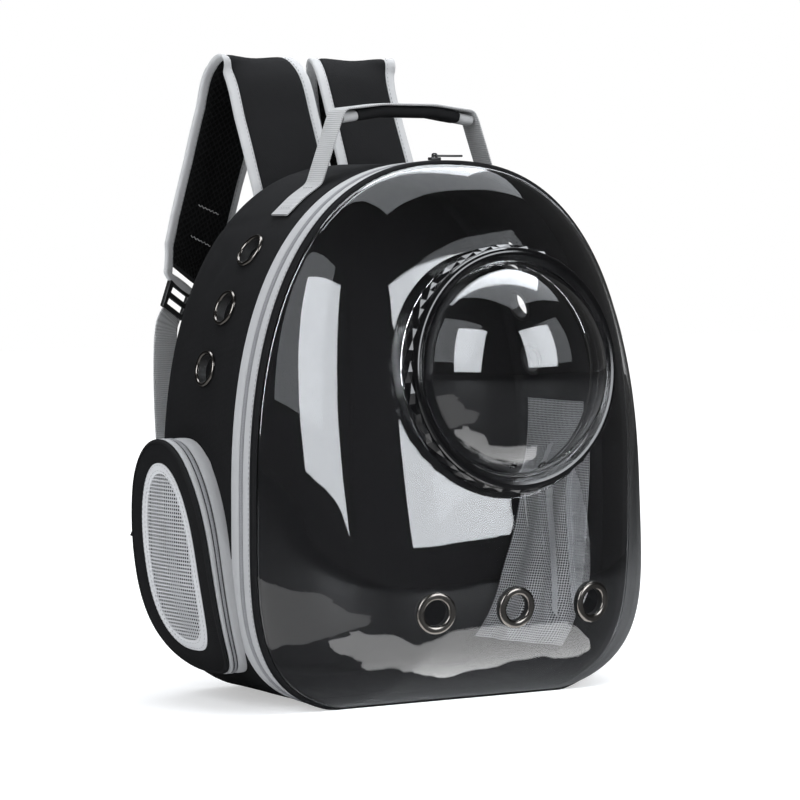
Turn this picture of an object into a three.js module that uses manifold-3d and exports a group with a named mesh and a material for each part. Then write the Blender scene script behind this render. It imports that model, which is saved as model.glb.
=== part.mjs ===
// Bubble pet carrier backpack: a zipped fabric arch body, a clear domed front with a screw ring and
// bubble, net pockets, a webbing handle and two padded shoulder straps.
// Millimetres, +Z up, the clear front faces -Y, the origin is the centre of the flat fabric base.
import * as THREE from 'three';
import { mergeVertices } from 'three/addons/utils/BufferGeometryUtils.js';
import Module from 'manifold-3d';

const wasm = await Module();
wasm.setup();

// Arch body
const ARCH_HEIGHT = 420;
const ARCH_WIDTH = 350;
const WIDEST_HEIGHT = 162;
const TOP_FULLNESS = 2.38;
const BASE_FULLNESS = 4;
const BASE_FLAT_CUT = 5;
const ARCH_STEPS = 42;
const BODY_DEPTH = 148;
const REAR_ROUNDING = 11;
const FABRIC_WALL = 3;
const SEAM_GAP = 0.3;

// Zip band and front binding, front to rear
const BINDING_WIDTH = 7;
const BINDING_WALL = 4;
const BINDING_PROUD = 1.2;
const FRONT_TAPE_WIDTH = 12;
const COIL_WIDTH = 6;
const REAR_TAPE_WIDTH = 12;
const TAPE_WALL = 1.5;
const COIL_PROUD = 0.8;
const COIL_WALL = 2.6;

// Back panel
const BACK_PANEL_WALL = 6;
const BACK_PAD_RISE = 6;
const BACK_PAD_BEVEL = 9;

// Clear front shell
const SHELL_DEPTH = 110;
const SHELL_TOP_REACH = 0.5;
const SHELL_BASE_REACH = 1.09;
const SHELL_LEAN_POWER = 0.7;
const SHELL_EDGE_FULLNESS = 3.75;
const SHELL_FACE_FULLNESS = 1.24;
const SHELL_WALL = 2;
const SHELL_INSET = 1.5;
const SHELL_ROW_SHARES = [1, 0.97, 0.89, 0.73, 0.42];

// Screw ring and bubble
const RING_HEIGHT = 262;
const RING_TILT = THREE.MathUtils.degToRad(4.4);
const RING_RADIUS = 94.5;
const RING_DEPTH = 19;
const RING_LIP = 5;
const RING_FACETS = 36;
const FACET_RELIEF = 2;
const FACET_ROWS = [
  { depth: 0.16, sunk: 1, phase: 0 },
  { depth: 0.35, sunk: 0, phase: 0.5 },
  { depth: 0.54, sunk: 1, phase: 0 },
  { depth: 0.73, sunk: 0, phase: 0.5 },
  { depth: 0.92, sunk: 1, phase: 0 },
  { depth: 1, sunk: 3, phase: 0 },
];
const NECK_RADIUS = 84;
const NECK_WALL = 2.5;
const BOSS_RADIUS = 92;
const BOSS_STANDOFF = 4;
const BOSS_SEAT_MARGIN = 6;
const BUBBLE_RADIUS = 86;
const BUBBLE_RISE = 58;
const BUBBLE_WALL = 2;
const BUBBLE_FLANGE = 2.3;
const BUBBLE_SIDES = 24;
const BUBBLE_STEPS = 5;
const NECK_SIDES = 24;
const VENT_RADIUS = 3;
const VENT_COUNT = 3;
const VENT_SPREAD = THREE.MathUtils.degToRad(20);
const VENT_TURN = THREE.MathUtils.degToRad(9);
const VENT_RISE = 9;
const VENT_SIDES = 8;

// Eyelets
const EYELET_SIDES = 10;
const EYELET_PLATE = 1.5;
const EYELET_PLAY = 0.7;
const EYELET_BACK_PLAY = 3;
const SEAT_PROBE_SHARES = [0.6, 0.8, 1];
const SHELL_EYELET = { bore: 10, barrel: 11.3, flange: 16, wall: SHELL_WALL };
const SHELL_EYELET_HEIGHT = 82;
const SHELL_EYELET_SPACING = 71;
const SIDE_EYELET = { bore: 11, barrel: 12, flange: 14.5, wall: FABRIC_WALL };
const SIDE_EYELETS = [
  { name: 'upper', height: 0.836, left: 0.49, right: 0.68 },
  { name: 'middle', height: 0.731, left: 0.5, right: 0.81 },
  { name: 'lower', height: 0.619, left: 0.56, right: 0.81 },
];

// Side pockets
const POCKET_HEIGHT = 180;
const POCKET_WIDTH = 111;
const POCKET_CENTRE_HEIGHT = 115;
const POCKET_CENTRE_BACK = 85.5;
const POCKET_LEAN = 0.18;
const POCKET_TOP_FULLNESS = 2.15;
const POCKET_BASE_FULLNESS = 2.75;
const POCKET_REACH_FRONT = 24;
const POCKET_REACH_REAR = 27;
const POCKET_REACH_DROP = 8;
const POCKET_STEPS = 18;
const POCKET_WALL = 2;
const POCKET_PIPING = 3;
const POCKET_PIPING_CROWN = 0.5;
const POCKET_COIL_SHARE = { start: 0.42, end: 0.64 };
const POCKET_COIL_PROUD = 0.7;
const WINDOW_CUT_SHARES = [0.5, 1.5];
const WINDOW_BORDER = 19;
const WINDOW_BINDING_WIDTH = 7;
const WINDOW_BINDING_WALL = 2;
const WINDOW_BINDING_RISE = 0.4;
const NET_WALL = 1;
const NET_CROWN = 3;

// Inner nets that hang over the pocket openings
const INNER_NET_TOP = 225;
const INNER_NET_BOTTOM = 26;
const INNER_NET_FRONT = 45;
const INNER_NET_REAR = 132;
const INNER_NET_SAG = 32;
const INNER_NET_ROWS = [
  { drop: 0, sag: 0 },
  { drop: 0.25, sag: 0.1 },
  { drop: 0.5, sag: 0.4 },
  { drop: 0.75, sag: 0.8 },
  { drop: 1, sag: 1 },
];
const INNER_NET_COLUMNS = [
  { across: 0, sag: 0.12 },
  { across: 0.3, sag: 0.5 },
  { across: 0.6, sag: 0.85 },
  { across: 1, sag: 1 },
];

// Carry handle
const WEBBING_WIDTH = 25;
const WEBBING_WALL = 1.8;
const HANDLE_BEHIND_SEAM = 63;
const HANDLE_TAIL = 112;
const HANDLE_FOLD = 74;
const HANDLE_TOP_SPAN = 60;
const HANDLE_RISE = 46;
const HANDLE_CROWN = 6;
const GRIP_LENGTH = 94;
const GRIP_WIDTH = 24;
const GRIP_HEIGHT = 9;
const GRIP_BEVEL = 3;
const GRIP_STATIONS = 7;
const WRAP_LENGTH = 8;
const WRAP_WIDTH = 17;
const WRAP_HEIGHT = 7;
const WRAP_BEVEL = 2.5;

// Shoulder straps
const STRAP_WIDTH = 76;
const STRAP_WALL = 8;
const STRAP_EDGE_WIDTH = 9;
const STRAP_EDGE_WALL = 4.5;
const STRAP_ROOT_HEIGHT = 345;
const STRAP_RISE = 159;
const STRAP_REACH = 76;
const STRAP_SPREAD = 42;
const STRAP_STEPS = 16;
const STRAP_STATIONS = [
  { rise: 0, reach: 0, spread: 1, turn: 0, width: 1 },
  { rise: 0.14, reach: 0.005, spread: 1, turn: 0, width: 1 },
  { rise: 0.28, reach: 0.03, spread: 1, turn: 0, width: 1 },
  { rise: 0.44, reach: 0.16, spread: 1, turn: -3, width: 1 },
  { rise: 0.7, reach: 0.42, spread: 1, turn: -5, width: 1 },
  { rise: 0.93, reach: 0.66, spread: 1.02, turn: -4, width: 1 },
  { rise: 1, reach: 0.84, spread: 1.12, turn: 2, width: 1 },
  { rise: 0.93, reach: 0.99, spread: 1.26, turn: 9, width: 1 },
  { rise: 0.72, reach: 1.07, spread: 1.46, turn: 16, width: 1 },
  { rise: 0.42, reach: 1.09, spread: 1.78, turn: 20, width: 1 },
  { rise: 0.14, reach: 1.07, spread: 2.1, turn: 21, width: 1 },
  { rise: -0.02, reach: 1.05, spread: 2.32, turn: 22, width: 0.92 },
  { rise: -0.13, reach: 1.02, spread: 2.52, turn: 23, width: 0.6 },
];
const LOCK_LENGTH = 24;
const LOCK_WIDTH = 34;
const LOCK_WALL = 4;
const LOCK_BAR = 4;
const LOCK_TAPER = 0.88;
const TAIL_STEPS = 12;
const TAIL_STATIONS = [
  { height: 0.58, behindBack: 0.95, side: 2.98 },
  { height: 0.35, behindBack: 0.6, side: 3.05 },
  { height: 0.215, behindBack: 0.24, side: 2.88 },
  { height: 0.15, behindBack: 0.05, side: 2.71 },
  { height: 0.11, behindBack: 0.004, side: 2.64 },
  { height: 0.07, behindBack: 0, side: 2.6 },
];

// Zip sliders and their pull tabs
const SLIDER_LENGTH = 9;
const SLIDER_WIDTH = 5.6;
const SLIDER_WALL = 2.4;
const BRIDGE_WIDTH = 2.4;
const BRIDGE_WALL = 1;
const SLIDER_PLAY = 0.7;
const PULL_LENGTH = 24;
const PULL_TOP_WIDTH = 6.6;
const PULL_END_WIDTH = 10;
const PULL_WIRE = 1.6;
const PULL_PLAY = 0.4;
const MAIN_SLIDER_SIDE = -1;
const POCKET_SLIDER_ANGLE = THREE.MathUtils.degToRad(62);
const POCKET_PULL_SWING = THREE.MathUtils.degToRad(35);

// Places that follow from the sizes
const halfWidth = ARCH_WIDTH / 2;
const seamY = -BODY_DEPTH / 2;
const backY = BODY_DEPTH / 2;
const bindingFrontY = seamY - BINDING_WIDTH;
const coilFrontY = seamY + FRONT_TAPE_WIDTH;
const coilRearY = coilFrontY + COIL_WIDTH;
const gussetFrontY = coilRearY + REAR_TAPE_WIDTH;
const halfGap = SEAM_GAP / 2;
const padRearY = backY + BACK_PAD_RISE;

// Materials
const finish = (color, roughness, metalness = 0) =>
  new THREE.MeshStandardMaterial({ color, roughness, metalness });
const blackFabric = finish(0x141416, 0.85);
const greyTape = finish(0xb4b4b6, 0.8);
const whiteBinding = finish(0xd6d6d8, 0.75);
const blackCoil = finish(0x2a2a2c, 0.5);
const blackMesh = finish(0x0d0d0e, 0.9);
const whiteNet = finish(0xe2e2e4, 0.7);
const greyNet = finish(0x8d8d90, 0.7);
const glossPlastic = finish(0x0a0a0b, 0.15);
const mattPlastic = finish(0x151516, 0.5);
const gunmetal = finish(0x57514a, 0.25, 0.9);
const blackMetal = finish(0x1c1c1d, 0.4, 0.6);
const clearPlastic = new THREE.MeshStandardMaterial({
  color: 0xe9ebec, roughness: 0.05, metalness: 0, transparent: true, opacity: 0.3,
});

const backpack = new THREE.Group();

// Geometry helpers
function signedVolume(positions, faces) {
  const a = new THREE.Vector3();
  const b = new THREE.Vector3();
  const c = new THREE.Vector3();
  let volume = 0;
  for (let i = 0; i < faces.length; i += 3) {
    a.fromArray(positions, faces[i] * 3);
    b.fromArray(positions, faces[i + 1] * 3);
    c.fromArray(positions, faces[i + 2] * 3);
    volume += a.dot(b.cross(c)) / 6;
  }
  return volume;
}

// A closed geometry from shared vertices, turned so that its faces point out.
function closedGeometry(vertices, faces) {
  const raw = new THREE.BufferGeometry();
  const places = new Float32Array(vertices.flatMap((vertex) => vertex.toArray()));
  raw.setAttribute('position', new THREE.BufferAttribute(places, 3));
  raw.setIndex(faces);
  return facingOut(raw);
}

function facingOut(geometry) {
  const bare = geometry.clone();
  bare.deleteAttribute('normal');
  bare.deleteAttribute('uv');
  const merged = mergeVertices(bare, 1e-4);
  const positions = merged.attributes.position.array;
  const index = Array.from(merged.index.array);
  const faces = [];
  for (let i = 0; i < index.length; i += 3) {
    const [a, b, c] = index.slice(i, i + 3);
    if (a !== b && b !== c && c !== a) faces.push(a, b, c);
  }
  if (signedVolume(positions, faces) < 0) faces.reverse();
  merged.setIndex(faces);
  return merged;
}

// Joins rings of equal point counts; a joined loft closes on itself, an open one is capped.
function loft(rings, joined = false) {
  const around = rings[0].length;
  const vertices = rings.flat();
  const faces = [];
  const strips = joined ? rings.length : rings.length - 1;
  for (let row = 0; row < strips; row += 1) {
    const here = row * around;
    const next = ((row + 1) % rings.length) * around;
    for (let i = 0; i < around; i += 1) {
      const j = (i + 1) % around;
      faces.push(here + i, here + j, next + j, here + i, next + j, next + i);
    }
  }
  if (!joined) {
    addCap(vertices, faces, 0, around, false);
    addCap(vertices, faces, (rings.length - 1) * around, around, true);
  }
  return closedGeometry(vertices, faces);
}

function addCap(vertices, faces, first, around, forward) {
  const centre = new THREE.Vector3();
  for (let i = 0; i < around; i += 1) centre.addScaledVector(vertices[first + i], 1 / around);
  const hub = vertices.push(centre) - 1;
  for (let i = 0; i < around; i += 1) {
    const j = (i + 1) % around;
    if (forward) faces.push(first + i, first + j, hub);
    else faces.push(first + j, first + i, hub);
  }
}

// A thin sheet between two skins of equal rows and columns, both split along the same diagonals.
function sheet(near, far) {
  const columns = near[0].length;
  const count = near.length * columns;
  const faces = [];
  const quad = (a, b, c, d) => faces.push(a, b, c, a, c, d);
  for (let row = 0; row < near.length - 1; row += 1) {
    for (let column = 0; column < columns - 1; column += 1) {
      const a = row * columns + column;
      const d = a + columns;
      quad(a, a + 1, d + 1, d);
      quad(count + a, count + d, count + d + 1, count + a + 1);
    }
  }
  const top = Array.from({ length: columns }, (unused, i) => i);
  const right = near.slice(1).map((row, i) => (i + 2) * columns - 1);
  const foot = top.slice(1).map((i) => count - 1 - i);
  const left = near.slice(2).map((row, i) => count - (i + 2) * columns);
  const rim = [...top, ...right, ...foot, ...left];
  rim.forEach((here, i) => {
    const next = rim[(i + 1) % rim.length];
    quad(next, here, count + here, count + next);
  });
  return closedGeometry([...near.flat(), ...far.flat()], faces);
}

function toSolid(geometry) {
  const closed = facingOut(geometry);
  return new wasm.Manifold(new wasm.Mesh({
    numProp: 3,
    vertProperties: new Float32Array(closed.attributes.position.array),
    triVerts: new Uint32Array(closed.index.array),
  }));
}

function toGeometry(solid) {
  const mesh = solid.getMesh();
  const geometry = new THREE.BufferGeometry();
  geometry.setAttribute('position', new THREE.BufferAttribute(new Float32Array(mesh.vertProperties), 3));
  geometry.setIndex(Array.from(mesh.triVerts));
  return geometry;
}

function without(geometry, ...cutters) {
  return toGeometry(cutters.reduce((solid, cutter) => solid.subtract(toSolid(cutter)), toSolid(geometry)));
}

function fused(...geometries) {
  const [first, ...rest] = geometries.map(toSolid);
  return toGeometry(rest.reduce((solid, other) => solid.add(other), first));
}

function addPiece(name, geometry, material, parent = backpack) {
  const mesh = new THREE.Mesh(geometry, material);
  mesh.name = name;
  parent.add(mesh);
  return mesh;
}

// A matrix whose local Z points along `out` and whose local X stays as near to `right` as it can.
function frameAt(origin, out, right) {
  const z = out.clone().normalize();
  const x = right.clone().addScaledVector(z, -right.dot(z)).normalize();
  const y = new THREE.Vector3().crossVectors(z, x);
  return new THREE.Matrix4().makeBasis(x, y, z).setPosition(origin);
}

function cylinderAlongZ(radius, from, to, sides) {
  const cylinder = new THREE.CylinderGeometry(radius, radius, to - from, sides);
  cylinder.rotateX(Math.PI / 2);
  cylinder.translate(0, 0, (from + to) / 2);
  return cylinder;
}

// A lathe around local Z from [radius, height] pairs.
function latheAlongZ(pairs, sides) {
  const lathe = new THREE.LatheGeometry(pairs.map(([r, h]) => new THREE.Vector2(r, h)), sides);
  lathe.rotateX(Math.PI / 2);
  return facingOut(lathe);
}

// Arch outline: a superellipse with a fuller base, cut flat at the floor.
function archPoint(angle, inset = 0) {
  const sin = Math.sin(angle);
  const cos = Math.cos(angle);
  const reach = cos >= 0 ? ARCH_HEIGHT - WIDEST_HEIGHT : WIDEST_HEIGHT + BASE_FLAT_CUT;
  const fullness = cos >= 0 ? TOP_FULLNESS : BASE_FULLNESS;
  const across = Math.abs(sin) / halfWidth;
  const along = Math.abs(cos) / reach;
  const radius = (across ** fullness + along ** fullness) ** (-1 / fullness);
  const x = radius * sin;
  const z = WIDEST_HEIGHT + radius * cos;
  if (z <= 0) return { x, z: Math.max(inset, 0), nx: 0, nz: -1 };
  const slopeX = Math.sign(sin) * (Math.abs(x) / halfWidth) ** (fullness - 1) / halfWidth;
  const slopeZ = Math.sign(cos) * (Math.abs(z - WIDEST_HEIGHT) / reach) ** (fullness - 1) / reach;
  const slope = Math.hypot(slopeX, slopeZ);
  const nx = slopeX / slope;
  const nz = slopeZ / slope;
  return { x: x - nx * inset, z: Math.max(z - nz * inset, inset, 0), nx, nz };
}

const ARCH_SEARCH_END = Math.PI / 2 + 0.6;
const archAngles = Array.from({ length: ARCH_STEPS }, (unused, i) => (2 * Math.PI * i) / ARCH_STEPS);

function archRing(y, inset) {
  return archAngles.map((angle) => {
    const { x, z } = archPoint(angle, inset);
    return new THREE.Vector3(x, y, z);
  });
}

// A closed band that follows the whole arch; the profile lists y and inset round its section.
function archBand(profile) {
  return loft(profile.map(({ y, inset }) => archRing(y, inset)), true);
}

function flatBand(frontY, rearY, outerInset, wall) {
  return archBand([
    { y: frontY, inset: outerInset },
    { y: rearY, inset: outerInset },
    { y: rearY, inset: outerInset + wall },
    { y: frontY, inset: outerInset + wall },
  ]);
}

// A place on the faceted outline at an angle, with the facet's own outward direction.
function archFacet(angle) {
  const step = (2 * Math.PI) / ARCH_STEPS;
  const row = Math.floor(angle / step);
  const from = archPoint(row * step);
  const to = archPoint((row + 1) * step);
  const share = angle / step - row;
  const length = Math.hypot(to.x - from.x, to.z - from.z);
  return {
    x: THREE.MathUtils.lerp(from.x, to.x, share),
    z: THREE.MathUtils.lerp(from.z, to.z, share),
    nx: -(to.z - from.z) / length,
    nz: (to.x - from.x) / length,
  };
}

// The arch angle at which the outline reaches a height or a half width on one side.
function archAngleWhere(side, test) {
  let low = 0;
  let high = ARCH_SEARCH_END;
  for (let i = 0; i < 40; i += 1) {
    const middle = (low + high) / 2;
    if (test(archPoint(middle))) high = middle;
    else low = middle;
  }
  return side * low;
}

const archAngleAtHeight = (side, height) => archAngleWhere(side, (point) => point.z < height);
const archAngleAtWidth = (side, width) => archAngleWhere(side, (point) => point.x > width);

// Half width of the arch at a height, from the outline's own formula.
function archHalfWidthAt(height) {
  const above = height >= WIDEST_HEIGHT;
  const reach = above ? ARCH_HEIGHT - WIDEST_HEIGHT : WIDEST_HEIGHT + BASE_FLAT_CUT;
  const fullness = above ? TOP_FULLNESS : BASE_FULLNESS;
  const share = Math.min(Math.abs(height - WIDEST_HEIGHT) / reach, 1);
  return halfWidth * (1 - share ** fullness) ** (1 / fullness);
}

// Half width inside the fabric wall at a height, along its facets.
function innerHalfWidthAt(height) {
  const wall = archAngles.map((angle) => archPoint(angle, FABRIC_WALL));
  const row = wall.findIndex(({ z }) => z <= height);
  const share = (wall[row - 1].z - height) / (wall[row - 1].z - wall[row].z);
  return THREE.MathUtils.lerp(wall[row - 1].x, wall[row].x, share);
}

// How far the rounded rear edge has drawn in at a depth.
function roundingAt(y) {
  const past = Math.max(y - (backY - REAR_ROUNDING), 0);
  return REAR_ROUNDING - Math.sqrt(Math.max(REAR_ROUNDING ** 2 - past ** 2, 0));
}

// Sections that follow a path: each station has a centre, an across vector, a normal and perhaps
// a share of the full width.
function ribbon(stations, outline) {
  return loft(stations.map(({ centre, across, normal, width = 1 }) => outline.map(([u, v]) =>
    centre.clone().addScaledVector(across, u * width).addScaledVector(normal, v))));
}

const rectangle = (width, wall) => [
  [-width / 2, -wall / 2], [width / 2, -wall / 2], [width / 2, wall / 2], [-width / 2, wall / 2],
];

// A flat section whose two edges come to a ridge.
const cushion = (width, wall) => [
  [-width / 2, 0], [-width / 2 + wall / 2, -wall / 2], [width / 2 - wall / 2, -wall / 2],
  [width / 2, 0], [width / 2 - wall / 2, wall / 2], [-width / 2 + wall / 2, wall / 2],
];

function rounded(width, height, bevel) {
  const w = width / 2;
  const h = height / 2;
  return [
    [-w + bevel, -h], [w - bevel, -h], [w, -h + bevel], [w, h - bevel],
    [w - bevel, h], [-w + bevel, h], [-w, h - bevel], [-w, -h + bevel],
  ];
}

// Fabric body
function sideEyeletPlace(side, { height, left, right }) {
  const behindSeam = BODY_DEPTH * (side < 0 ? left : right);
  const { x, z, nx, nz } = archFacet(archAngleAtHeight(side, ARCH_HEIGHT * height));
  const origin = new THREE.Vector3(x, seamY + behindSeam, z);
  return frameAt(origin, new THREE.Vector3(nx, 0, nz), new THREE.Vector3(0, 1, 0));
}

function pocketOutlinePoint(angle, border = 0) {
  const cos = Math.cos(angle);
  const sin = Math.sin(angle);
  const fullness = cos >= 0 ? POCKET_TOP_FULLNESS : POCKET_BASE_FULLNESS;
  const across = POCKET_WIDTH / 2 - border;
  const up = POCKET_HEIGHT / 2 - border;
  const radius = ((Math.abs(sin) / across) ** fullness + (Math.abs(cos) / up) ** fullness) ** (-1 / fullness);
  const rise = radius * cos;
  return { y: seamY + POCKET_CENTRE_BACK + POCKET_LEAN * rise + radius * sin, z: POCKET_CENTRE_HEIGHT + rise };
}

const pocketAngles = Array.from({ length: POCKET_STEPS }, (unused, i) => (2 * Math.PI * i) / POCKET_STEPS);

// The pocket face follows the body's side, and stands less far out towards its front foot.
function pocketFaceX(y, z) {
  const rearShare = THREE.MathUtils.clamp((y - seamY - POCKET_CENTRE_BACK) / POCKET_WIDTH + 0.5, 0, 1);
  const lowShare = THREE.MathUtils.clamp(0.5 - (z - POCKET_CENTRE_HEIGHT) / POCKET_HEIGHT, 0, 1);
  const reach = THREE.MathUtils.lerp(POCKET_REACH_FRONT, POCKET_REACH_REAR, rearShare);
  return archHalfWidthAt(z) + reach - POCKET_REACH_DROP * lowShare * (1 - rearShare);
}

function pocketWallX(y, z) {
  return archHalfWidthAt(z) - roundingAt(y) + SEAM_GAP;
}

// A ring of the pocket's outline, `share` of the way from the body's side to the face. Short of
// the face, all borders of one share stand equally far out.
function pocketRing(side, share, border, lift = 0) {
  return pocketAngles.map((angle) => {
    const { y, z } = pocketOutlinePoint(angle, border);
    const edge = pocketOutlinePoint(angle);
    const wall = pocketWallX(edge.y, edge.z);
    const face = share < 1 ? pocketFaceX(edge.y, edge.z) : pocketFaceX(y, z);
    return new THREE.Vector3(side * (THREE.MathUtils.lerp(wall, face, share) + lift), y, z);
  });
}

function windowCutter(side) {
  const rings = WINDOW_CUT_SHARES.map((share) => pocketAngles.map((angle) => {
    const { y, z } = pocketOutlinePoint(angle, WINDOW_BORDER);
    return new THREE.Vector3(side * share * halfWidth, y, z);
  }));
  return loft(rings);
}

// The outer profile of the rounded rear edge, from the straight wall to the back panel's seam.
function rearProfile() {
  return [0, 45, 90].map((degrees) => THREE.MathUtils.degToRad(degrees)).map((turn) => ({
    y: backY - REAR_ROUNDING + REAR_ROUNDING * Math.sin(turn),
    inset: REAR_ROUNDING * (1 - Math.cos(turn)),
  }));
}

// The body as a filled form, a little larger all round, for seating what is sewn to its sides.
function bodyForm(clearance) {
  const rings = rearProfile().map(({ y, inset }) => archRing(y, inset - clearance));
  const pad = archRing(padRearY + clearance, REAR_ROUNDING + BACK_PAD_BEVEL - clearance);
  return loft([archRing(bindingFrontY, -clearance), ...rings, pad]);
}

function addGusset() {
  const startY = gussetFrontY + halfGap;
  const roundY = backY - REAR_ROUNDING;
  const inner = [90, 0].map((degrees) => THREE.MathUtils.degToRad(degrees)).map((turn) => ({
    y: roundY + (REAR_ROUNDING - FABRIC_WALL) * Math.sin(turn),
    inset: REAR_ROUNDING - (REAR_ROUNDING - FABRIC_WALL) * Math.cos(turn),
  }));
  const outer = [{ y: startY, inset: 0 }, ...rearProfile()];
  const wall = archBand([...outer, ...inner, { y: startY, inset: FABRIC_WALL }]);
  const cutters = [-1, 1].flatMap((side) => [
    windowCutter(side),
    ...SIDE_EYELETS.map((place) => {
      const reach = FABRIC_WALL * 2;
      const bore = cylinderAlongZ(SIDE_EYELET.barrel + SEAM_GAP, -reach, reach, EYELET_SIDES);
      return bore.applyMatrix4(sideEyeletPlace(side, place));
    }),
  ]);
  addPiece('side_gusset', without(wall, ...cutters), blackFabric);
}

function addBackPanel() {
  const inset = REAR_ROUNDING + SEAM_GAP;
  const frontY = backY - BACK_PANEL_WALL;
  addPiece('back_panel', loft([
    archRing(frontY, inset),
    archRing(backY, inset),
    archRing(padRearY, inset + BACK_PAD_BEVEL),
  ]), blackMesh);
}

function addZipBand() {
  addPiece('zip_tape_rear', flatBand(coilRearY + halfGap, gussetFrontY - halfGap, 0, TAPE_WALL), greyTape);
  addPiece('zip_tape_front', flatBand(seamY + halfGap, coilFrontY - halfGap, 0, TAPE_WALL), greyTape);
  addPiece('zip_coil', flatBand(coilFrontY + halfGap, coilRearY - halfGap, -COIL_PROUD, COIL_WALL), blackCoil);
}

function addFrontBinding() {
  const rearY = seamY - halfGap;
  const frontY = bindingFrontY + halfGap;
  addPiece('front_binding', archBand([
    { y: rearY, inset: 0 },
    { y: (rearY + seamY) / 2 - BINDING_WIDTH / 4, inset: -BINDING_PROUD },
    { y: (frontY + bindingFrontY) / 2 + BINDING_WIDTH / 4, inset: -BINDING_PROUD },
    { y: frontY, inset: SHELL_INSET },
    { y: frontY, inset: BINDING_WALL },
    { y: rearY, inset: BINDING_WALL },
  ]), blackFabric);
}

// Clear shell
function shellDepthAt(height) {
  const lean = (height / ARCH_HEIGHT) ** SHELL_LEAN_POWER;
  return SHELL_DEPTH * THREE.MathUtils.lerp(SHELL_BASE_REACH, SHELL_TOP_REACH, lean);
}

// A ring of the shell at a share of the way from its centre to its rim.
function shellRing(share, wall) {
  const lift = (1 - share ** SHELL_EDGE_FULLNESS) ** (1 / SHELL_FACE_FULLNESS);
  return archAngles.map((angle) => {
    const rim = archPoint(angle, SHELL_INSET + wall);
    const x = rim.x * share;
    const z = WIDEST_HEIGHT + (rim.z - WIDEST_HEIGHT) * share;
    const y = bindingFrontY - halfGap - (shellDepthAt(z) - wall) * lift;
    return new THREE.Vector3(x, y, z);
  });
}

// Y of the shell's outer face over a point of the front view.
function shellFrontY(x, z) {
  const rim = archPoint(Math.atan2(x, z - WIDEST_HEIGHT), SHELL_INSET);
  const share = Math.min(Math.hypot(x, z - WIDEST_HEIGHT) / Math.hypot(rim.x, rim.z - WIDEST_HEIGHT), 1);
  const lift = (1 - share ** SHELL_EDGE_FULLNESS) ** (1 / SHELL_FACE_FULLNESS);
  return bindingFrontY - halfGap - shellDepthAt(z) * lift;
}

// The plane that rests on the shell's outer facets round a point of the front view.
function shellSeat(shell, x, z, radius) {
  const ray = new THREE.Raycaster();
  const hit = (dx, dz) => {
    ray.set(new THREE.Vector3(x + dx, seamY - 2 * SHELL_DEPTH, z + dz), new THREE.Vector3(0, 1, 0));
    return ray.intersectObject(shell)[0].point;
  };
  const centre = hit(0, 0);
  const [left, right, low, high] = [hit(-radius, 0), hit(radius, 0), hit(0, -radius), hit(0, radius)];
  const out = right.clone().sub(left).cross(high.clone().sub(low)).normalize();
  const rim = SEAT_PROBE_SHARES.flatMap((share) => Array.from({ length: EYELET_SIDES }, (unused, i) => {
    const turn = (i * 2 * Math.PI) / EYELET_SIDES;
    return hit(share * radius * Math.cos(turn), share * radius * Math.sin(turn));
  }));
  const proud = Math.max(...rim.map((point) => point.sub(centre).dot(out)), 0);
  return frameAt(centre.addScaledVector(out, proud), out, new THREE.Vector3(1, 0, 0));
}

const ringAxis = new THREE.Vector3(0, -Math.cos(RING_TILT), Math.sin(RING_TILT));
const ringOrigin = new THREE.Vector3(0, shellFrontY(0, RING_HEIGHT) - BOSS_STANDOFF, RING_HEIGHT);
const ringPlace = frameAt(ringOrigin, ringAxis, new THREE.Vector3(1, 0, 0));
const lipDepth = RING_DEPTH - RING_LIP;
const flangeFrom = lipDepth - SEAM_GAP - BUBBLE_FLANGE;
const bubbleFootRadius = Math.sqrt(BUBBLE_RADIUS ** 2 - (BUBBLE_RADIUS - BUBBLE_RISE) ** 2);

function addShell() {
  const rows = SHELL_ROW_SHARES;
  const rimHollow = archRing(bindingFrontY + SEAM_GAP, SHELL_INSET + SHELL_WALL);
  const sides = NECK_SIDES;
  const seat = (depth) => {
    const trim = cylinderAlongZ(BOSS_RADIUS + BOSS_SEAT_MARGIN, depth, SHELL_DEPTH, sides);
    return trim.applyMatrix4(ringPlace);
  };
  const skin = without(loft(rows.map((row) => shellRing(row, 0))), seat(0));
  const skinMesh = new THREE.Mesh(skin, clearPlastic);
  const inner = loft([rimHollow, ...rows.slice(1).map((row) => shellRing(row, SHELL_WALL))]);
  const hollow = without(inner, seat(-SHELL_WALL));
  const bossDepth = shellDepthAt(RING_HEIGHT) / 2;
  const boss = cylinderAlongZ(BOSS_RADIUS, -bossDepth, 0, sides).applyMatrix4(ringPlace);
  const neckTop = flangeFrom - SEAM_GAP;
  const neck = cylinderAlongZ(NECK_RADIUS, -SHELL_WALL, neckTop, sides).applyMatrix4(ringPlace);
  const bossHollow = cylinderAlongZ(BOSS_RADIUS - SHELL_WALL, -2 * bossDepth, -SHELL_WALL, sides);
  const bore = cylinderAlongZ(NECK_RADIUS - NECK_WALL, -2 * bossDepth, RING_DEPTH, sides);
  const full = fused(skin, boss, neck);
  const eyeletPlaces = [-1, 0, 1].map((place) =>
    shellSeat(skinMesh, place * SHELL_EYELET_SPACING, SHELL_EYELET_HEIGHT, SHELL_EYELET.flange));
  const holes = eyeletPlaces.map((place) => {
    const reach = SHELL_WALL * 3;
    const drill = cylinderAlongZ(SHELL_EYELET.barrel + SEAM_GAP, -reach, reach, EYELET_SIDES);
    return drill.applyMatrix4(place);
  });
  const cutters = [hollow, bossHollow.applyMatrix4(ringPlace), bore.applyMatrix4(ringPlace), ...holes];
  addPiece('clear_shell', without(full, ...cutters), clearPlastic);
  ['left', 'middle', 'right'].forEach((name, i) => {
    addPiece(`front_eyelet_${name}`, eyelet(SHELL_EYELET).applyMatrix4(eyeletPlaces[i]), gunmetal);
  });
}

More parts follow.
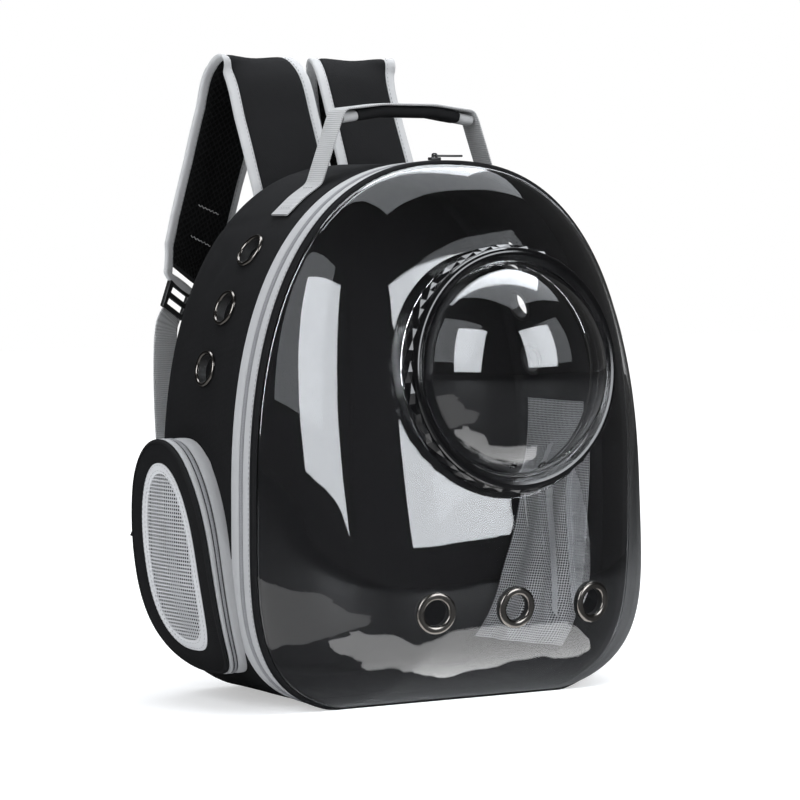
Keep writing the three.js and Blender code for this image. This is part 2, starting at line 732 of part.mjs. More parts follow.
// Screw ring: two staggered rows of flat diamond facets between a rear flange and a front lip.
function addRing() {
  const boreRadius = NECK_RADIUS + 2 * SEAM_GAP;
  const lipRadius = bubbleFootRadius + SEAM_GAP * 2;
  const facets = FACET_ROWS.map(({ depth, sunk, phase }) => (
    { depth: depth * RING_DEPTH, radius: RING_RADIUS - sunk * FACET_RELIEF, phase }));
  const rows = [
    { depth: SEAM_GAP, radius: BOSS_RADIUS, phase: 0 },
    ...facets,
    { depth: RING_DEPTH, radius: lipRadius, phase: 0 },
    { depth: lipDepth, radius: lipRadius, phase: 0 },
    { depth: lipDepth, radius: boreRadius, phase: 0 },
    { depth: SEAM_GAP, radius: boreRadius, phase: 0 },
  ];
  const rings = rows.map(({ depth, radius, phase }) => Array.from({ length: RING_FACETS }, (unused, i) => {
    const angle = ((i + phase) * 2 * Math.PI) / RING_FACETS;
    return new THREE.Vector3(radius * Math.cos(angle), radius * Math.sin(angle), depth);
  }));
  addPiece('bubble_ring', loft(rings, true).applyMatrix4(ringPlace), glossPlastic);
}

function addBubble() {
  const centreDepth = flangeFrom + BUBBLE_FLANGE + BUBBLE_RISE - BUBBLE_RADIUS;
  const foot = Math.asin(bubbleFootRadius / BUBBLE_RADIUS);
  const arc = (radius, from, to) => Array.from({ length: BUBBLE_STEPS + 1 }, (unused, i) => {
    const turn = THREE.MathUtils.lerp(from, to, i / BUBBLE_STEPS) * foot;
    return [radius * Math.sin(turn), centreDepth + radius * Math.cos(turn)];
  });
  const flangeRadius = NECK_RADIUS - SEAM_GAP;
  const outer = arc(BUBBLE_RADIUS, 0, 1);
  const inner = arc(BUBBLE_RADIUS - BUBBLE_WALL, 1, 0);
  inner[0] = [bubbleFootRadius - BUBBLE_WALL, flangeFrom];
  const flange = [flangeFrom + BUBBLE_FLANGE, flangeFrom].map((height) => [flangeRadius, height]);
  const profile = [...outer, ...flange, ...inner];
  profile[0][0] = 0;
  profile[profile.length - 1][0] = 0;
  const vents = Array.from({ length: VENT_COUNT }, (unused, i) => {
    const turn = (i - (VENT_COUNT - 1) / 2) * VENT_SPREAD + VENT_TURN - Math.PI / 2;
    const out = new THREE.Vector3(Math.cos(turn), Math.sin(turn), 0);
    const origin = new THREE.Vector3(0, 0, lipDepth + RING_LIP + VENT_RISE);
    const drill = cylinderAlongZ(VENT_RADIUS, BUBBLE_RADIUS / 2, BUBBLE_RADIUS + BUBBLE_WALL, VENT_SIDES);
    return drill.applyMatrix4(frameAt(origin, out, new THREE.Vector3(0, 0, 1)));
  });
  const bubble = without(latheAlongZ(profile, BUBBLE_SIDES), ...vents);
  addPiece('bubble_dome', bubble.applyMatrix4(ringPlace), clearPlastic);
}

// A rolled eyelet: outer flange, barrel through the wall, washer inside.
function eyelet({ bore, barrel, flange, wall }) {
  const face = EYELET_PLAY;
  const inside = -wall - EYELET_BACK_PLAY;
  return latheAlongZ([
    [bore, face + EYELET_PLATE],
    [flange, face],
    [barrel, face],
    [barrel, inside],
    [flange, inside],
    [bore, inside - EYELET_PLATE],
    [bore, face + EYELET_PLATE],
  ], EYELET_SIDES);
}

function addSideEyelets() {
  for (const side of [-1, 1]) {
    for (const row of SIDE_EYELETS) {
      const name = `side_eyelet_${side < 0 ? 'left' : 'right'}_${row.name}`;
      addPiece(name, eyelet(SIDE_EYELET).applyMatrix4(sideEyeletPlace(side, row)), gunmetal);
    }
  }
}

const barHeight = SLIDER_WALL + PULL_WIRE / 2 + PULL_PLAY;

// Zip slider with a bridge over its pull's top bar; local X runs along the coil, local Z points out.
function sliderGeometry() {
  const halfSlot = PULL_WIRE / 2 + PULL_PLAY;
  const body = new THREE.BoxGeometry(SLIDER_LENGTH, SLIDER_WIDTH, SLIDER_WALL);
  body.translate(0, 0, SLIDER_WALL / 2);
  const roof = barHeight + halfSlot + BRIDGE_WALL;
  const arch = new THREE.Shape();
  const foot = halfSlot + BRIDGE_WALL;
  const sunk = SLIDER_WALL / 2;
  arch.moveTo(-foot, sunk);
  arch.lineTo(foot, sunk);
  arch.lineTo(foot, roof - BRIDGE_WALL);
  arch.lineTo(halfSlot, roof);
  arch.lineTo(-halfSlot, roof);
  arch.lineTo(-foot, roof - BRIDGE_WALL);
  arch.closePath();
  const slot = new THREE.Path();
  slot.moveTo(-halfSlot, SLIDER_WALL);
  slot.lineTo(halfSlot, SLIDER_WALL);
  slot.lineTo(halfSlot, barHeight + halfSlot);
  slot.lineTo(-halfSlot, barHeight + halfSlot);
  slot.closePath();
  arch.holes.push(slot);
  const bridge = new THREE.ExtrudeGeometry(arch, { depth: BRIDGE_WIDTH, bevelEnabled: false });
  bridge.rotateX(Math.PI / 2);
  bridge.translate(0, BRIDGE_WIDTH / 2, 0);
  return fused(body, bridge);
}

// Wire pull: a long triangle whose top bar turns under the slider's bridge, swung out by an angle.
function pullGeometry(swing) {
  const topHalf = PULL_TOP_WIDTH / 2;
  const endHalf = PULL_END_WIDTH / 2;
  const start = -PULL_WIRE / 2;
  const end = start + PULL_LENGTH;
  const frame = new THREE.Shape();
  frame.moveTo(start, -topHalf);
  frame.lineTo(end, -endHalf);
  frame.lineTo(end, endHalf);
  frame.lineTo(start, topHalf);
  frame.closePath();
  const opening = new THREE.Path();
  opening.moveTo(start + PULL_WIRE, -topHalf + PULL_WIRE);
  opening.lineTo(end - PULL_WIRE, -endHalf + PULL_WIRE);
  opening.lineTo(end - PULL_WIRE, endHalf - PULL_WIRE);
  opening.lineTo(start + PULL_WIRE, topHalf - PULL_WIRE);
  opening.closePath();
  frame.holes.push(opening);
  const wire = new THREE.ExtrudeGeometry(frame, { depth: PULL_WIRE, bevelEnabled: false });
  wire.translate(0, 0, -PULL_WIRE / 2);
  wire.rotateY(-swing);
  wire.translate(0, 0, barHeight);
  return wire;
}

function addSlider(name, place, swing) {
  addPiece(`${name}_slider`, sliderGeometry().applyMatrix4(place), blackMetal);
  addPiece(`${name}_pull`, facingOut(pullGeometry(swing)).applyMatrix4(place), blackMetal);
}

function mainSliderPlace() {
  const angle = Math.atan2(MAIN_SLIDER_SIDE, ARCH_HEIGHT - WIDEST_HEIGHT);
  const { x, z, nx, nz } = archPoint(angle, -COIL_PROUD - SLIDER_PLAY);
  const origin = new THREE.Vector3(x, (coilFrontY + coilRearY) / 2, z);
  return frameAt(origin, new THREE.Vector3(nx, 0, nz), new THREE.Vector3(1, 0, 0));
}

// Pockets
function addPocket(side) {
  const label = side < 0 ? 'left' : 'right';
  const name = (piece) => `pocket_${label}_${piece}`;
  const faceShare = 1 - POCKET_PIPING / POCKET_REACH_FRONT;
  const wallBand = (from, to, proud) => loft([
    pocketRing(side, from, -proud, SEAM_GAP),
    pocketRing(side, to, -proud, -SEAM_GAP),
    pocketRing(side, to, POCKET_WALL, -SEAM_GAP),
    pocketRing(side, from, POCKET_WALL, SEAM_GAP),
  ], true);
  const coil = POCKET_COIL_SHARE;
  const sewn = without(wallBand(-coil.start, coil.start, 0), bodyForm(SEAM_GAP));
  addPiece(name('tape_inner'), sewn, greyTape);
  addPiece(name('zip_coil'), wallBand(coil.start, coil.end, POCKET_COIL_PROUD), blackCoil);
  addPiece(name('tape_outer'), wallBand(coil.end, faceShare, 0), greyTape);
  const inner = POCKET_WALL + SEAM_GAP;
  addPiece(name('piping'), loft([
    pocketRing(side, faceShare, 0, SEAM_GAP),
    pocketRing(side, 1, -POCKET_PIPING / 4, -POCKET_PIPING / 3),
    pocketRing(side, 1, POCKET_WALL / 2, POCKET_PIPING_CROWN),
    pocketRing(side, 1, POCKET_WALL, 0),
    pocketRing(side, faceShare, POCKET_WALL, SEAM_GAP),
  ], true), blackFabric);
  const seat = WINDOW_BORDER - SEAM_GAP;
  addPiece(name('panel'), loft([
    pocketRing(side, 1, inner, -POCKET_WALL),
    pocketRing(side, 1, inner, 0),
    pocketRing(side, 1, seat, 0),
    pocketRing(side, 1, seat, -POCKET_WALL),
  ], true), blackFabric);
  const bindingInner = WINDOW_BORDER + WINDOW_BINDING_WIDTH;
  addPiece(name('window_binding'), loft([
    pocketRing(side, 1, WINDOW_BORDER, -WINDOW_BINDING_WALL),
    pocketRing(side, 1, WINDOW_BORDER, WINDOW_BINDING_RISE),
    pocketRing(side, 1, bindingInner, WINDOW_BINDING_RISE),
    pocketRing(side, 1, bindingInner, -WINDOW_BINDING_WALL),
  ], true), whiteBinding);
  const netBorder = bindingInner + SEAM_GAP;
  const netMiddle = (netBorder + POCKET_WIDTH / 2) / 2;
  addPiece(name('net'), loft([
    pocketRing(side, 1, netMiddle, NET_CROWN - NET_WALL),
    pocketRing(side, 1, netBorder, -NET_WALL),
    pocketRing(side, 1, netBorder, 0),
    pocketRing(side, 1, netMiddle, NET_CROWN),
  ]), whiteNet);
}

function pocketSliderPlace(side) {
  const angle = POCKET_SLIDER_ANGLE;
  const proud = -POCKET_COIL_PROUD - SLIDER_PLAY;
  const step = 0.02;
  const here = pocketOutlinePoint(angle, proud);
  const before = pocketOutlinePoint(angle - step, proud);
  const after = pocketOutlinePoint(angle + step, proud);
  const edge = pocketOutlinePoint(angle);
  const share = (POCKET_COIL_SHARE.start + POCKET_COIL_SHARE.end) / 2;
  const x = THREE.MathUtils.lerp(pocketWallX(edge.y, edge.z), pocketFaceX(edge.y, edge.z), share);
  const down = new THREE.Vector3(0, after.y - before.y, after.z - before.z).normalize();
  const out = new THREE.Vector3(0, -down.z, down.y);
  return frameAt(new THREE.Vector3(side * x, here.y, here.z), out, down);
}

// A net that hangs inside the body over the pocket opening and sags inwards at its foot.
function addInnerNet(side) {
  const label = side < 0 ? 'left' : 'right';
  const skin = (depth) => INNER_NET_ROWS.map((row) => INNER_NET_COLUMNS.map((column) => {
    const z = THREE.MathUtils.lerp(INNER_NET_TOP, INNER_NET_BOTTOM, row.drop);
    const y = THREE.MathUtils.lerp(seamY + INNER_NET_FRONT, seamY + INNER_NET_REAR, column.across);
    const wallX = innerHalfWidthAt(z) - SEAM_GAP;
    return new THREE.Vector3(side * (wallX - INNER_NET_SAG * row.sag * column.sag - depth), y, z);
  }));
  addPiece(`inner_net_${label}`, sheet(skin(0), skin(NET_WALL)), greyNet);
}

// Carry handle: flat webbing tails on the fabric, folded up into legs that cross over the grip.
const handleY = seamY + HANDLE_BEHIND_SEAM;
const handleTopZ = ARCH_HEIGHT + HANDLE_RISE;

function handlePath() {
  const onFabric = (width) => {
    const { x, z, nx, nz } = archPoint(archAngleAtWidth(-1, width), -WEBBING_WALL / 2 - 2 * SEAM_GAP);
    return { x, z, nx, nz };
  };
  const tail = [HANDLE_TAIL, (HANDLE_TAIL + HANDLE_FOLD) / 2, HANDLE_FOLD].map(onFabric);
  const legTop = { x: -HANDLE_TOP_SPAN, z: handleTopZ - HANDLE_CROWN - GRIP_HEIGHT / 2 };
  const shoulder = { x: -HANDLE_TOP_SPAN + WEBBING_WALL * 2, z: handleTopZ - HANDLE_CROWN + WEBBING_WALL };
  const crownSide = { x: -GRIP_LENGTH / 4, z: handleTopZ };
  const half = [...tail, legTop, shoulder, crownSide];
  const mirrored = half.slice().reverse().map(({ x, z }) => ({ x: -x, z }));
  return [...half, ...mirrored].map(({ x, z }) => new THREE.Vector3(x, handleY, z));
}

// Stations along a polyline in the XZ plane, each normal halving its corner.
function mitredStations(points, across) {
  return points.map((centre, i) => {
    const before = points[Math.max(i - 1, 0)];
    const after = points[Math.min(i + 1, points.length - 1)];
    const arriving = centre.clone().sub(before).normalize();
    const leaving = after.clone().sub(centre).normalize();
    const along = arriving.add(leaving).normalize();
    const normal = new THREE.Vector3().crossVectors(across, along).normalize();
    return { centre, across, normal };
  });
}

function addHandle() {
  const across = new THREE.Vector3(0, 1, 0);
  const stations = mitredStations(handlePath(), across);
  addPiece('handle_webbing', ribbon(stations, rectangle(WEBBING_WIDTH, WEBBING_WALL)), greyTape);
  const drop = WEBBING_WALL / 2 + SEAM_GAP + GRIP_HEIGHT / 2;
  const gripPath = (from, to, count) => Array.from({ length: count }, (unused, i) => {
    const x = THREE.MathUtils.lerp(from, to, i / (count - 1));
    const outer = Math.max(Math.abs(x) - GRIP_LENGTH / 4, 0) / (HANDLE_TOP_SPAN - GRIP_LENGTH / 4);
    return new THREE.Vector3(x, handleY, handleTopZ - drop - HANDLE_CROWN * outer);
  });
  const half = GRIP_LENGTH / 2;
  const gripStations = mitredStations(gripPath(-half, half, GRIP_STATIONS), across);
  addPiece('handle_grip', ribbon(gripStations, rounded(GRIP_WIDTH, GRIP_HEIGHT, GRIP_BEVEL)), blackFabric);
  for (const side of [-1, 1]) {
    const from = half + SEAM_GAP;
    const ends = gripPath(side * from, side * (from + WRAP_LENGTH), 2);
    const wrap = ribbon(mitredStations(ends, across), rounded(WRAP_WIDTH, WRAP_HEIGHT, WRAP_BEVEL));
    addPiece(`handle_wrap_${side < 0 ? 'left' : 'right'}`, wrap, greyTape);
  }
}

// Shoulder straps
const strapPlaneY = padRearY + SEAM_GAP + STRAP_WALL / 2;

function strapStations(side) {
  const rows = STRAP_STATIONS.map(({ rise, reach, spread }) => new THREE.Vector3(
    side * STRAP_SPREAD * spread, strapPlaneY + STRAP_REACH * reach, STRAP_ROOT_HEIGHT + STRAP_RISE * rise,
  ));
  const curve = new THREE.CatmullRomCurve3(rows, false, 'centripetal');
  return Array.from({ length: STRAP_STEPS + 1 }, (unused, i) => {
    const at = i / STRAP_STEPS;
    const row = at * (STRAP_STATIONS.length - 1);
    const low = Math.min(Math.floor(row), STRAP_STATIONS.length - 2);
    const between = (column) =>
      THREE.MathUtils.lerp(STRAP_STATIONS[low][column], STRAP_STATIONS[low + 1][column], row - low);
    const turn = THREE.MathUtils.degToRad(between('turn'));
    const along = curve.getTangent(at);
    const flat = new THREE.Vector3(Math.cos(turn), -side * Math.sin(turn), 0);
    const across = flat.addScaledVector(along, -flat.dot(along)).normalize();
    const normal = new THREE.Vector3().crossVectors(across, along).normalize();
    return { centre: curve.getPoint(at), across, normal, along, width: between('width') };
  });
}

function addStrap(side) {
  const label = side < 0 ? 'left' : 'right';
  const stations = strapStations(side);
  const padWidth = STRAP_WIDTH - 2 * (STRAP_EDGE_WIDTH + SEAM_GAP);
  const trimmed = stations.slice(0, -1);
  addPiece(`strap_${label}_pad`, ribbon(trimmed, cushion(padWidth, STRAP_WALL)), blackFabric);
  const shifted = (end) => stations.map((station) => {
    const offset = end * (station.width * padWidth / 2 + STRAP_EDGE_WIDTH / 2 + SEAM_GAP);
    return { ...station, width: 1, centre: station.centre.clone().addScaledVector(station.across, offset) };
  });
  const edge = rectangle(STRAP_EDGE_WIDTH, STRAP_EDGE_WALL);
  const rails = [-1, 1].map((end) => ribbon(shifted(end), edge));
  const last = stations[STRAP_STEPS];
  const closing = [SEAM_GAP * 2, STRAP_EDGE_WIDTH].map((ahead) => ({
    ...last, width: 1, centre: last.centre.clone().addScaledVector(last.along, ahead - STRAP_EDGE_WIDTH / 2),
  }));
  const endWidth = last.width * padWidth + 2 * STRAP_EDGE_WIDTH;
  const cross = ribbon(closing, rectangle(endWidth, STRAP_EDGE_WALL));
  addPiece(`strap_${label}_binding`, fused(...rails, cross), greyTape);
  addLock(label, last);
  addTail(side, label, last);
}

// Ladder lock: an open frame with a middle bar at the strap's end.
function addLock(label, last) {
  const w = LOCK_WIDTH / 2;
  const shape = new THREE.Shape();
  shape.moveTo(-w, 0);
  shape.lineTo(w, 0);
  shape.lineTo(w * LOCK_TAPER, LOCK_LENGTH);
  shape.lineTo(-w * LOCK_TAPER, LOCK_LENGTH);
  shape.closePath();
  const slotHeight = (LOCK_LENGTH - 3 * LOCK_BAR) / 2;
  for (const row of [0, 1]) {
    const from = LOCK_BAR + row * (slotHeight + LOCK_BAR);
    const halfSlot = w * LOCK_TAPER - LOCK_BAR;
    const slot = new THREE.Path();
    slot.moveTo(-halfSlot, from);
    slot.lineTo(halfSlot, from);
    slot.lineTo(halfSlot, from + slotHeight);
    slot.lineTo(-halfSlot, from + slotHeight);
    slot.closePath();
    shape.holes.push(slot);
  }
  const plate = new THREE.ExtrudeGeometry(shape, { depth: LOCK_WALL, bevelEnabled: false });
  plate.translate(0, 0, -LOCK_WALL / 2);
  const origin = last.centre.clone().addScaledVector(last.along, STRAP_EDGE_WIDTH / 2 + 2 * SEAM_GAP);
  const place = new THREE.Matrix4().makeBasis(last.across, last.along, last.across.clone().cross(last.along));
  addPiece(`strap_${label}_lock`, facingOut(plate).applyMatrix4(place.setPosition(origin)), mattPlastic);
}

// Adjuster webbing from the ladder lock down to the foot of the back panel.
function addTail(side, label, last) {
  const restY = padRearY + SEAM_GAP + WEBBING_WALL / 2;
  const lockEnd = STRAP_EDGE_WIDTH / 2 + LOCK_LENGTH + 3 * SEAM_GAP;
  const start = last.centre.clone().addScaledVector(last.along, lockEnd);
  const lead = start.clone().addScaledVector(last.along, LOCK_LENGTH / 2);
  const rows = [start, lead, ...TAIL_STATIONS.map(({ height, behindBack, side: out }) =>
    new THREE.Vector3(side * out * STRAP_SPREAD, restY + behindBack * STRAP_REACH, height * STRAP_ROOT_HEIGHT))];
  const curve = new THREE.CatmullRomCurve3(rows, false, 'centripetal');
  const stations = Array.from({ length: TAIL_STEPS + 1 }, (unused, i) => {
    const at = i / TAIL_STEPS;
    const along = curve.getTangent(at);
    const flat = last.across.clone().lerp(new THREE.Vector3(1, 0, 0), Math.min(2 * at, 1));
    const across = flat.addScaledVector(along, -flat.dot(along)).normalize();
    const normal = new THREE.Vector3().crossVectors(across, along).normalize();
    return { centre: curve.getPoint(at), across, normal };
  });
  addPiece(`strap_${label}_webbing`, ribbon(stations, rectangle(WEBBING_WIDTH, WEBBING_WALL)), greyTape);
}

addGusset();
addBackPanel();
addZipBand();
addFrontBinding();
addShell();
addRing();
addBubble();
addSideEyelets();
for (const side of [-1, 1]) {
  addPocket(side);
  addInnerNet(side);
  addStrap(side);
}
addHandle();
addSlider('main', mainSliderPlace(), 0);
addSlider('pocket_left', pocketSliderPlace(-1), POCKET_PULL_SWING);
addSlider('pocket_right', pocketSliderPlace(1), POCKET_PULL_SWING);

export default backpack;
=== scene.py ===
"""Looks of a bubble pet carrier backpack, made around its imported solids.

Lengths are in metres. X points right, the clear front faces -Y, Z is up and the origin is
the centre of the flat fabric base, as in the solids.
"""

import logging
import math
from collections.abc import Callable, Sequence
from dataclasses import dataclass, field
from enum import Enum
from functools import lru_cache

import bmesh
import bpy
from mathutils import Matrix, Vector, noise


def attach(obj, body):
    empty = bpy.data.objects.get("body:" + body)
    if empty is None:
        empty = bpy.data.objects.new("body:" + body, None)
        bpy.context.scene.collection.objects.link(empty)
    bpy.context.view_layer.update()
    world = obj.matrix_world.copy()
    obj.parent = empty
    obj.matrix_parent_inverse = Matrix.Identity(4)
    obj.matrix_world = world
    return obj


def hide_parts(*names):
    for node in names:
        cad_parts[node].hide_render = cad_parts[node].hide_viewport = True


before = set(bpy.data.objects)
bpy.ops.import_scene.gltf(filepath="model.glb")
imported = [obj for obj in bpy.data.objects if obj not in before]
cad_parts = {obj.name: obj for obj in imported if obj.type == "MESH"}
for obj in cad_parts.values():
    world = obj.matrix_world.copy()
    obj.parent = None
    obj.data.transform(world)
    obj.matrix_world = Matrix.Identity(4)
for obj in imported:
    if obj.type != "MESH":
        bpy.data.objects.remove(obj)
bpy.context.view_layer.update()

log = logging.getLogger("backpack")

MM = 0.001
TAU = 2 * math.pi
WELD = 1e-6
Ring = list[Vector]
Socket = bpy.types.NodeSocket
Thing = bpy.types.Object
Material = bpy.types.Material


class Slot(Enum):
    """The record's material slots."""

    FABRIC = "black_fabric"
    AIR_MESH = "air_mesh"
    TAPE = "grey_tape"
    EDGE_TAPE = "grey_binding"
    WEBBING = "webbing"
    WINDOW = "white_binding"
    COIL = "zip_coil"
    STRAP = "strap_fabric"
    WHITE_NET = "white_net"
    INNER_NET = "inner_net"
    RING = "gloss_ring"
    BUCKLE = "buckle_plastic"
    EYELET = "eyelet_metal"
    PULL = "pull_metal"
    CLEAR = "clear_plastic"


class Side(Enum):
    """The two sides of the pack, as seen from its clear front."""

    LEFT = -1
    RIGHT = 1

    @property
    def label(self) -> str:
        """The side's name inside a piece's name."""
        return self.name.lower()


class Pattern(Enum):
    """How a cloth is made up, by the name of its shared effect."""

    WEAVE = "Weave"
    RIBS = "Ribs"
    AIR_MESH = "Air mesh"


class Cut(Enum):
    """What becomes of a piece where another solid meets it."""

    REMOVE = "DIFFERENCE"
    JOIN = "UNION"
    OVERLAP = "INTERSECT"


def mix(start: float, end: float, share: float) -> float:
    """A value a share of the way from start to end."""
    return start + (end - start) * share


def clamp(value: float, low: float = 0.0, high: float = 1.0) -> float:
    """The value kept between low and high."""
    return max(low, min(high, value))


def ease(low: float, high: float, value: float) -> float:
    """A smooth step from 0 at low to 1 at high."""
    share = clamp((value - low) / (high - low))
    return share * share * (3 - 2 * share)


def shares(count: int) -> list[float]:
    """Even steps from 0 to 1, both included."""
    return [i / (count - 1) for i in range(count)]


def crown(share: float, power: float) -> float:
    """A rounded rise, 0 at both ends and 1 in the middle; a lower power is boxier."""
    return math.sin(math.pi * share) ** power


def running_lengths(points: Sequence[Vector]) -> list[float]:
    """The length along a line of points up to each of them."""
    lengths = [0.0]
    for before, after in zip(points, points[1:]):
        lengths.append(lengths[-1] + (after - before).length)
    return lengths


# Mesh tools


def shade(piece: Thing, sharp: float) -> None:
    """Shades a piece smooth, with edges sharper than an angle kept.

    Args:
        piece: The mesh object.
        sharp: The angle in degrees.
    """
    piece.data.shade_smooth()
    piece.data.set_sharp_from_angle(angle=math.radians(sharp))


def new_piece(name: str, shape: bmesh.types.BMesh, sharp: float = 40) -> Thing:
    """Turns a bmesh into an object at the origin.

    Args:
        name: The piece's name.
        shape: The bmesh, which is freed.
        sharp: Edges sharper than this many degrees stay crisp.

    Returns:
        The new object.
    """
    mesh = bpy.data.meshes.new(name)
    shape.to_mesh(mesh)
    shape.free()
    piece = bpy.data.objects.new(name, mesh)
    bpy.context.scene.collection.objects.link(piece)
    shade(piece, sharp)
    return piece


def fill_rims(shape: bmesh.types.BMesh) -> None:
    """Closes every open rim of a bmesh with triangles."""
    rims = [edge for edge in shape.edges if edge.is_boundary]
    made = bmesh.ops.holes_fill(shape, edges=rims)["faces"]
    bmesh.ops.triangulate(shape, faces=made)


def skin(name: str, rings: Sequence[Ring], closed_round: bool = True, closed_along: bool = False,
         capped: bool = False, sharp: float = 40, under: range | None = None) -> Thing:
    """Shapes a grid into a skin over rings of points, with a UV map in real lengths.

    Args:
        name: The piece's name.
        rings: Rows of equally many points.
        closed_round: Whether each row closes on itself.
        closed_along: Whether the last row meets the first.
        capped: Whether open ends are filled.
        sharp: Edges sharper than this many degrees stay crisp.
        under: Columns of faces that take the second finish.

    Returns:
        The new object.
    """
    rows = [ring + ring[:1] if closed_round else list(ring) for ring in rings]
    if closed_along:
        rows.append(rows[0])
    columns = len(rows[0]) - 1
    shape = bmesh.new()
    bmesh.ops.create_grid(shape, x_segments=columns, y_segments=len(rows) - 1, size=1)
    layer = shape.loops.layers.uv.new("UVMap")
    round_runs = running_lengths(rows[len(rows) // 2])
    along_runs = running_lengths([row[0] for row in rows])
    spots = {vert: (round((vert.co.x + 1) / 2 * columns), round((vert.co.y + 1) / 2 * (len(rows) - 1)))
             for vert in shape.verts}
    for face in shape.faces:
        face_columns = [spots[vert][0] for vert in face.verts]
        if under is not None and min(face_columns) in under:
            face.material_index = 1
        for loop in face.loops:
            column, row = spots[loop.vert]
            loop[layer].uv = (round_runs[column], along_runs[row])
    for vert, (column, row) in spots.items():
        vert.co = rows[row][column]
    bmesh.ops.remove_doubles(shape, verts=shape.verts, dist=WELD)
    if capped:
        fill_rims(shape)
    bmesh.ops.recalc_face_normals(shape, faces=shape.faces)
    return new_piece(name, shape, sharp)


def lathe(name: str, profile: Sequence[tuple[float, float]], steps: int, place: Matrix,
          closed: bool = True, sharp: float = 40) -> Thing:
    """Spins a profile round a place's own Z.

    Args:
        name: The piece's name.
        profile: Pairs of radius and height.
        steps: Steps of a full turn.
        place: Where the piece goes.
        closed: Whether the profile's end meets its start.
        sharp: Edges sharper than this many degrees stay crisp.

    Returns:
        The new object.
    """
    shape = bmesh.new()
    verts = [shape.verts.new((radius, 0, height)) for radius, height in profile]
    pairs = list(zip(verts, verts[1:]))
    if closed:
        pairs.append((verts[-1], verts[0]))
    edges = [shape.edges.new(pair) for pair in pairs]
    bmesh.ops.spin(shape, geom=verts + edges, cent=(0, 0, 0), axis=(0, 0, 1), dvec=(0, 0, 0),
                   angle=TAU, steps=steps, use_merge=True, use_duplicate=False)
    bmesh.ops.remove_doubles(shape, verts=shape.verts, dist=WELD)
    bmesh.ops.recalc_face_normals(shape, faces=shape.faces)
    bmesh.ops.transform(shape, matrix=place, verts=shape.verts)
    return new_piece(name, shape, sharp)


def rod(name: str, radius: float, low: float, high: float, sides: int, place: Matrix) -> Thing:
    """A cylinder along a place's own Z, for cutting."""
    shape = bmesh.new()
    centre = Matrix.Translation((0, 0, (low + high) / 2))
    bmesh.ops.create_cone(shape, cap_ends=True, segments=sides, radius1=radius, radius2=radius,
                          depth=high - low, matrix=place @ centre)
    return new_piece(name, shape)


def bake_modifiers(piece: Thing) -> None:
    """Applies a piece's modifiers to its mesh."""
    bpy.context.view_layer.update()
    evaluated = piece.evaluated_get(bpy.context.evaluated_depsgraph_get())
    mesh = bpy.data.meshes.new_from_object(evaluated)
    piece.modifiers.clear()
    piece.data = mesh


def combine(piece: Thing, others: Sequence[Thing], cut: Cut, sharp: float = 40) -> None:
    """Cuts, joins or keeps the overlap of a piece with others, which are then gone.

    Args:
        piece: The piece that is changed.
        others: The solids to use, in order.
        cut: What becomes of the piece.
        sharp: Edges sharper than this many degrees stay crisp.
    """
    for other in others:
        modifier = piece.modifiers.new("combine", "BOOLEAN")
        modifier.operation = cut.value
        modifier.object = other
        modifier.solver = "EXACT"
        bake_modifiers(piece)
        bpy.data.objects.remove(other)
    shade(piece, sharp)


def softened_copy(node: str, width: float, segments: int = 2) -> Thing:
    """Copies a hard node and rounds its edges.

    Args:
        node: The solid's name.
        width: How far the rounding reaches.
        segments: Steps of the rounding.

    Returns:
        The new object, named after the node.
    """
    shape = bmesh.new()
    shape.from_mesh(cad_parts[node].data)
    bmesh.ops.remove_doubles(shape, verts=shape.verts, dist=WELD)
    bmesh.ops.dissolve_limit(shape, angle_limit=math.radians(1), verts=shape.verts, edges=shape.edges)
    crisp = [edge for edge in shape.edges if edge.calc_face_angle(0) > math.radians(25)]
    bmesh.ops.bevel(shape, geom=crisp, offset=width, segments=segments, profile=0.5,
                    affect="EDGES", material=-1, clamp_overlap=True)
    bmesh.ops.triangulate(shape, faces=shape.faces)
    return new_piece(f"{node}_finished", shape, sharp=35)


def thicken(piece: Thing, wall: float) -> None:
    """Gives a sheet its thickness, half to each side."""
    modifier = piece.modifiers.new("wall", "SOLIDIFY")
    modifier.thickness = wall
    modifier.offset = 0
    bake_modifiers(piece)


def place_at(origin: Vector, out: Vector, right: Vector) -> Matrix:
    """A place whose Z points out and whose X stays near to right."""
    z = out.normalized()
    x = (right - z * right.dot(z)).normalized()
    y = z.cross(x)
    turn = Matrix((x, y, z)).transposed().to_4x4()
    return Matrix.Translation(origin) @ turn


@dataclass(frozen=True)
class Station:
    """One place along a strip.

    Attributes:
        centre: The middle of the strip.
        across: The direction of its width.
        out: The direction that its upper face looks in.
        width: A share of the full width.
    """

    centre: Vector
    across: Vector
    out: Vector
    width: float = 1.0


def strip(name: str, stations: Sequence[Station], outline: Sequence[tuple[float, float]],
          under: range | None = None) -> Thing:
    """A closed strip with one section all along its stations."""
    rings = [[station.centre + station.across * (u * station.width) + station.out * v for u, v in outline]
             for station in stations]
    return skin(name, rings, capped=True, under=under)


def coil_section() -> list[tuple[float, float, float]]:
    """Share of the width, inset and share of the ripple over a zip coil's round face."""
    section = []
    for i in range(7):
        turn = math.pi * i / 6
        section.append(((1 - math.cos(turn)) / 2, 0.9 * MM - 1.6 * MM * math.sin(turn) ** 0.7,
                        math.sin(turn)))
    return section


def rippled(ring: Ring, deeper: Ring) -> Ring:
    """A ring whose every second point comes from a deeper one."""
    return [pair[i % 2] for i, pair in enumerate(zip(ring, deeper))]


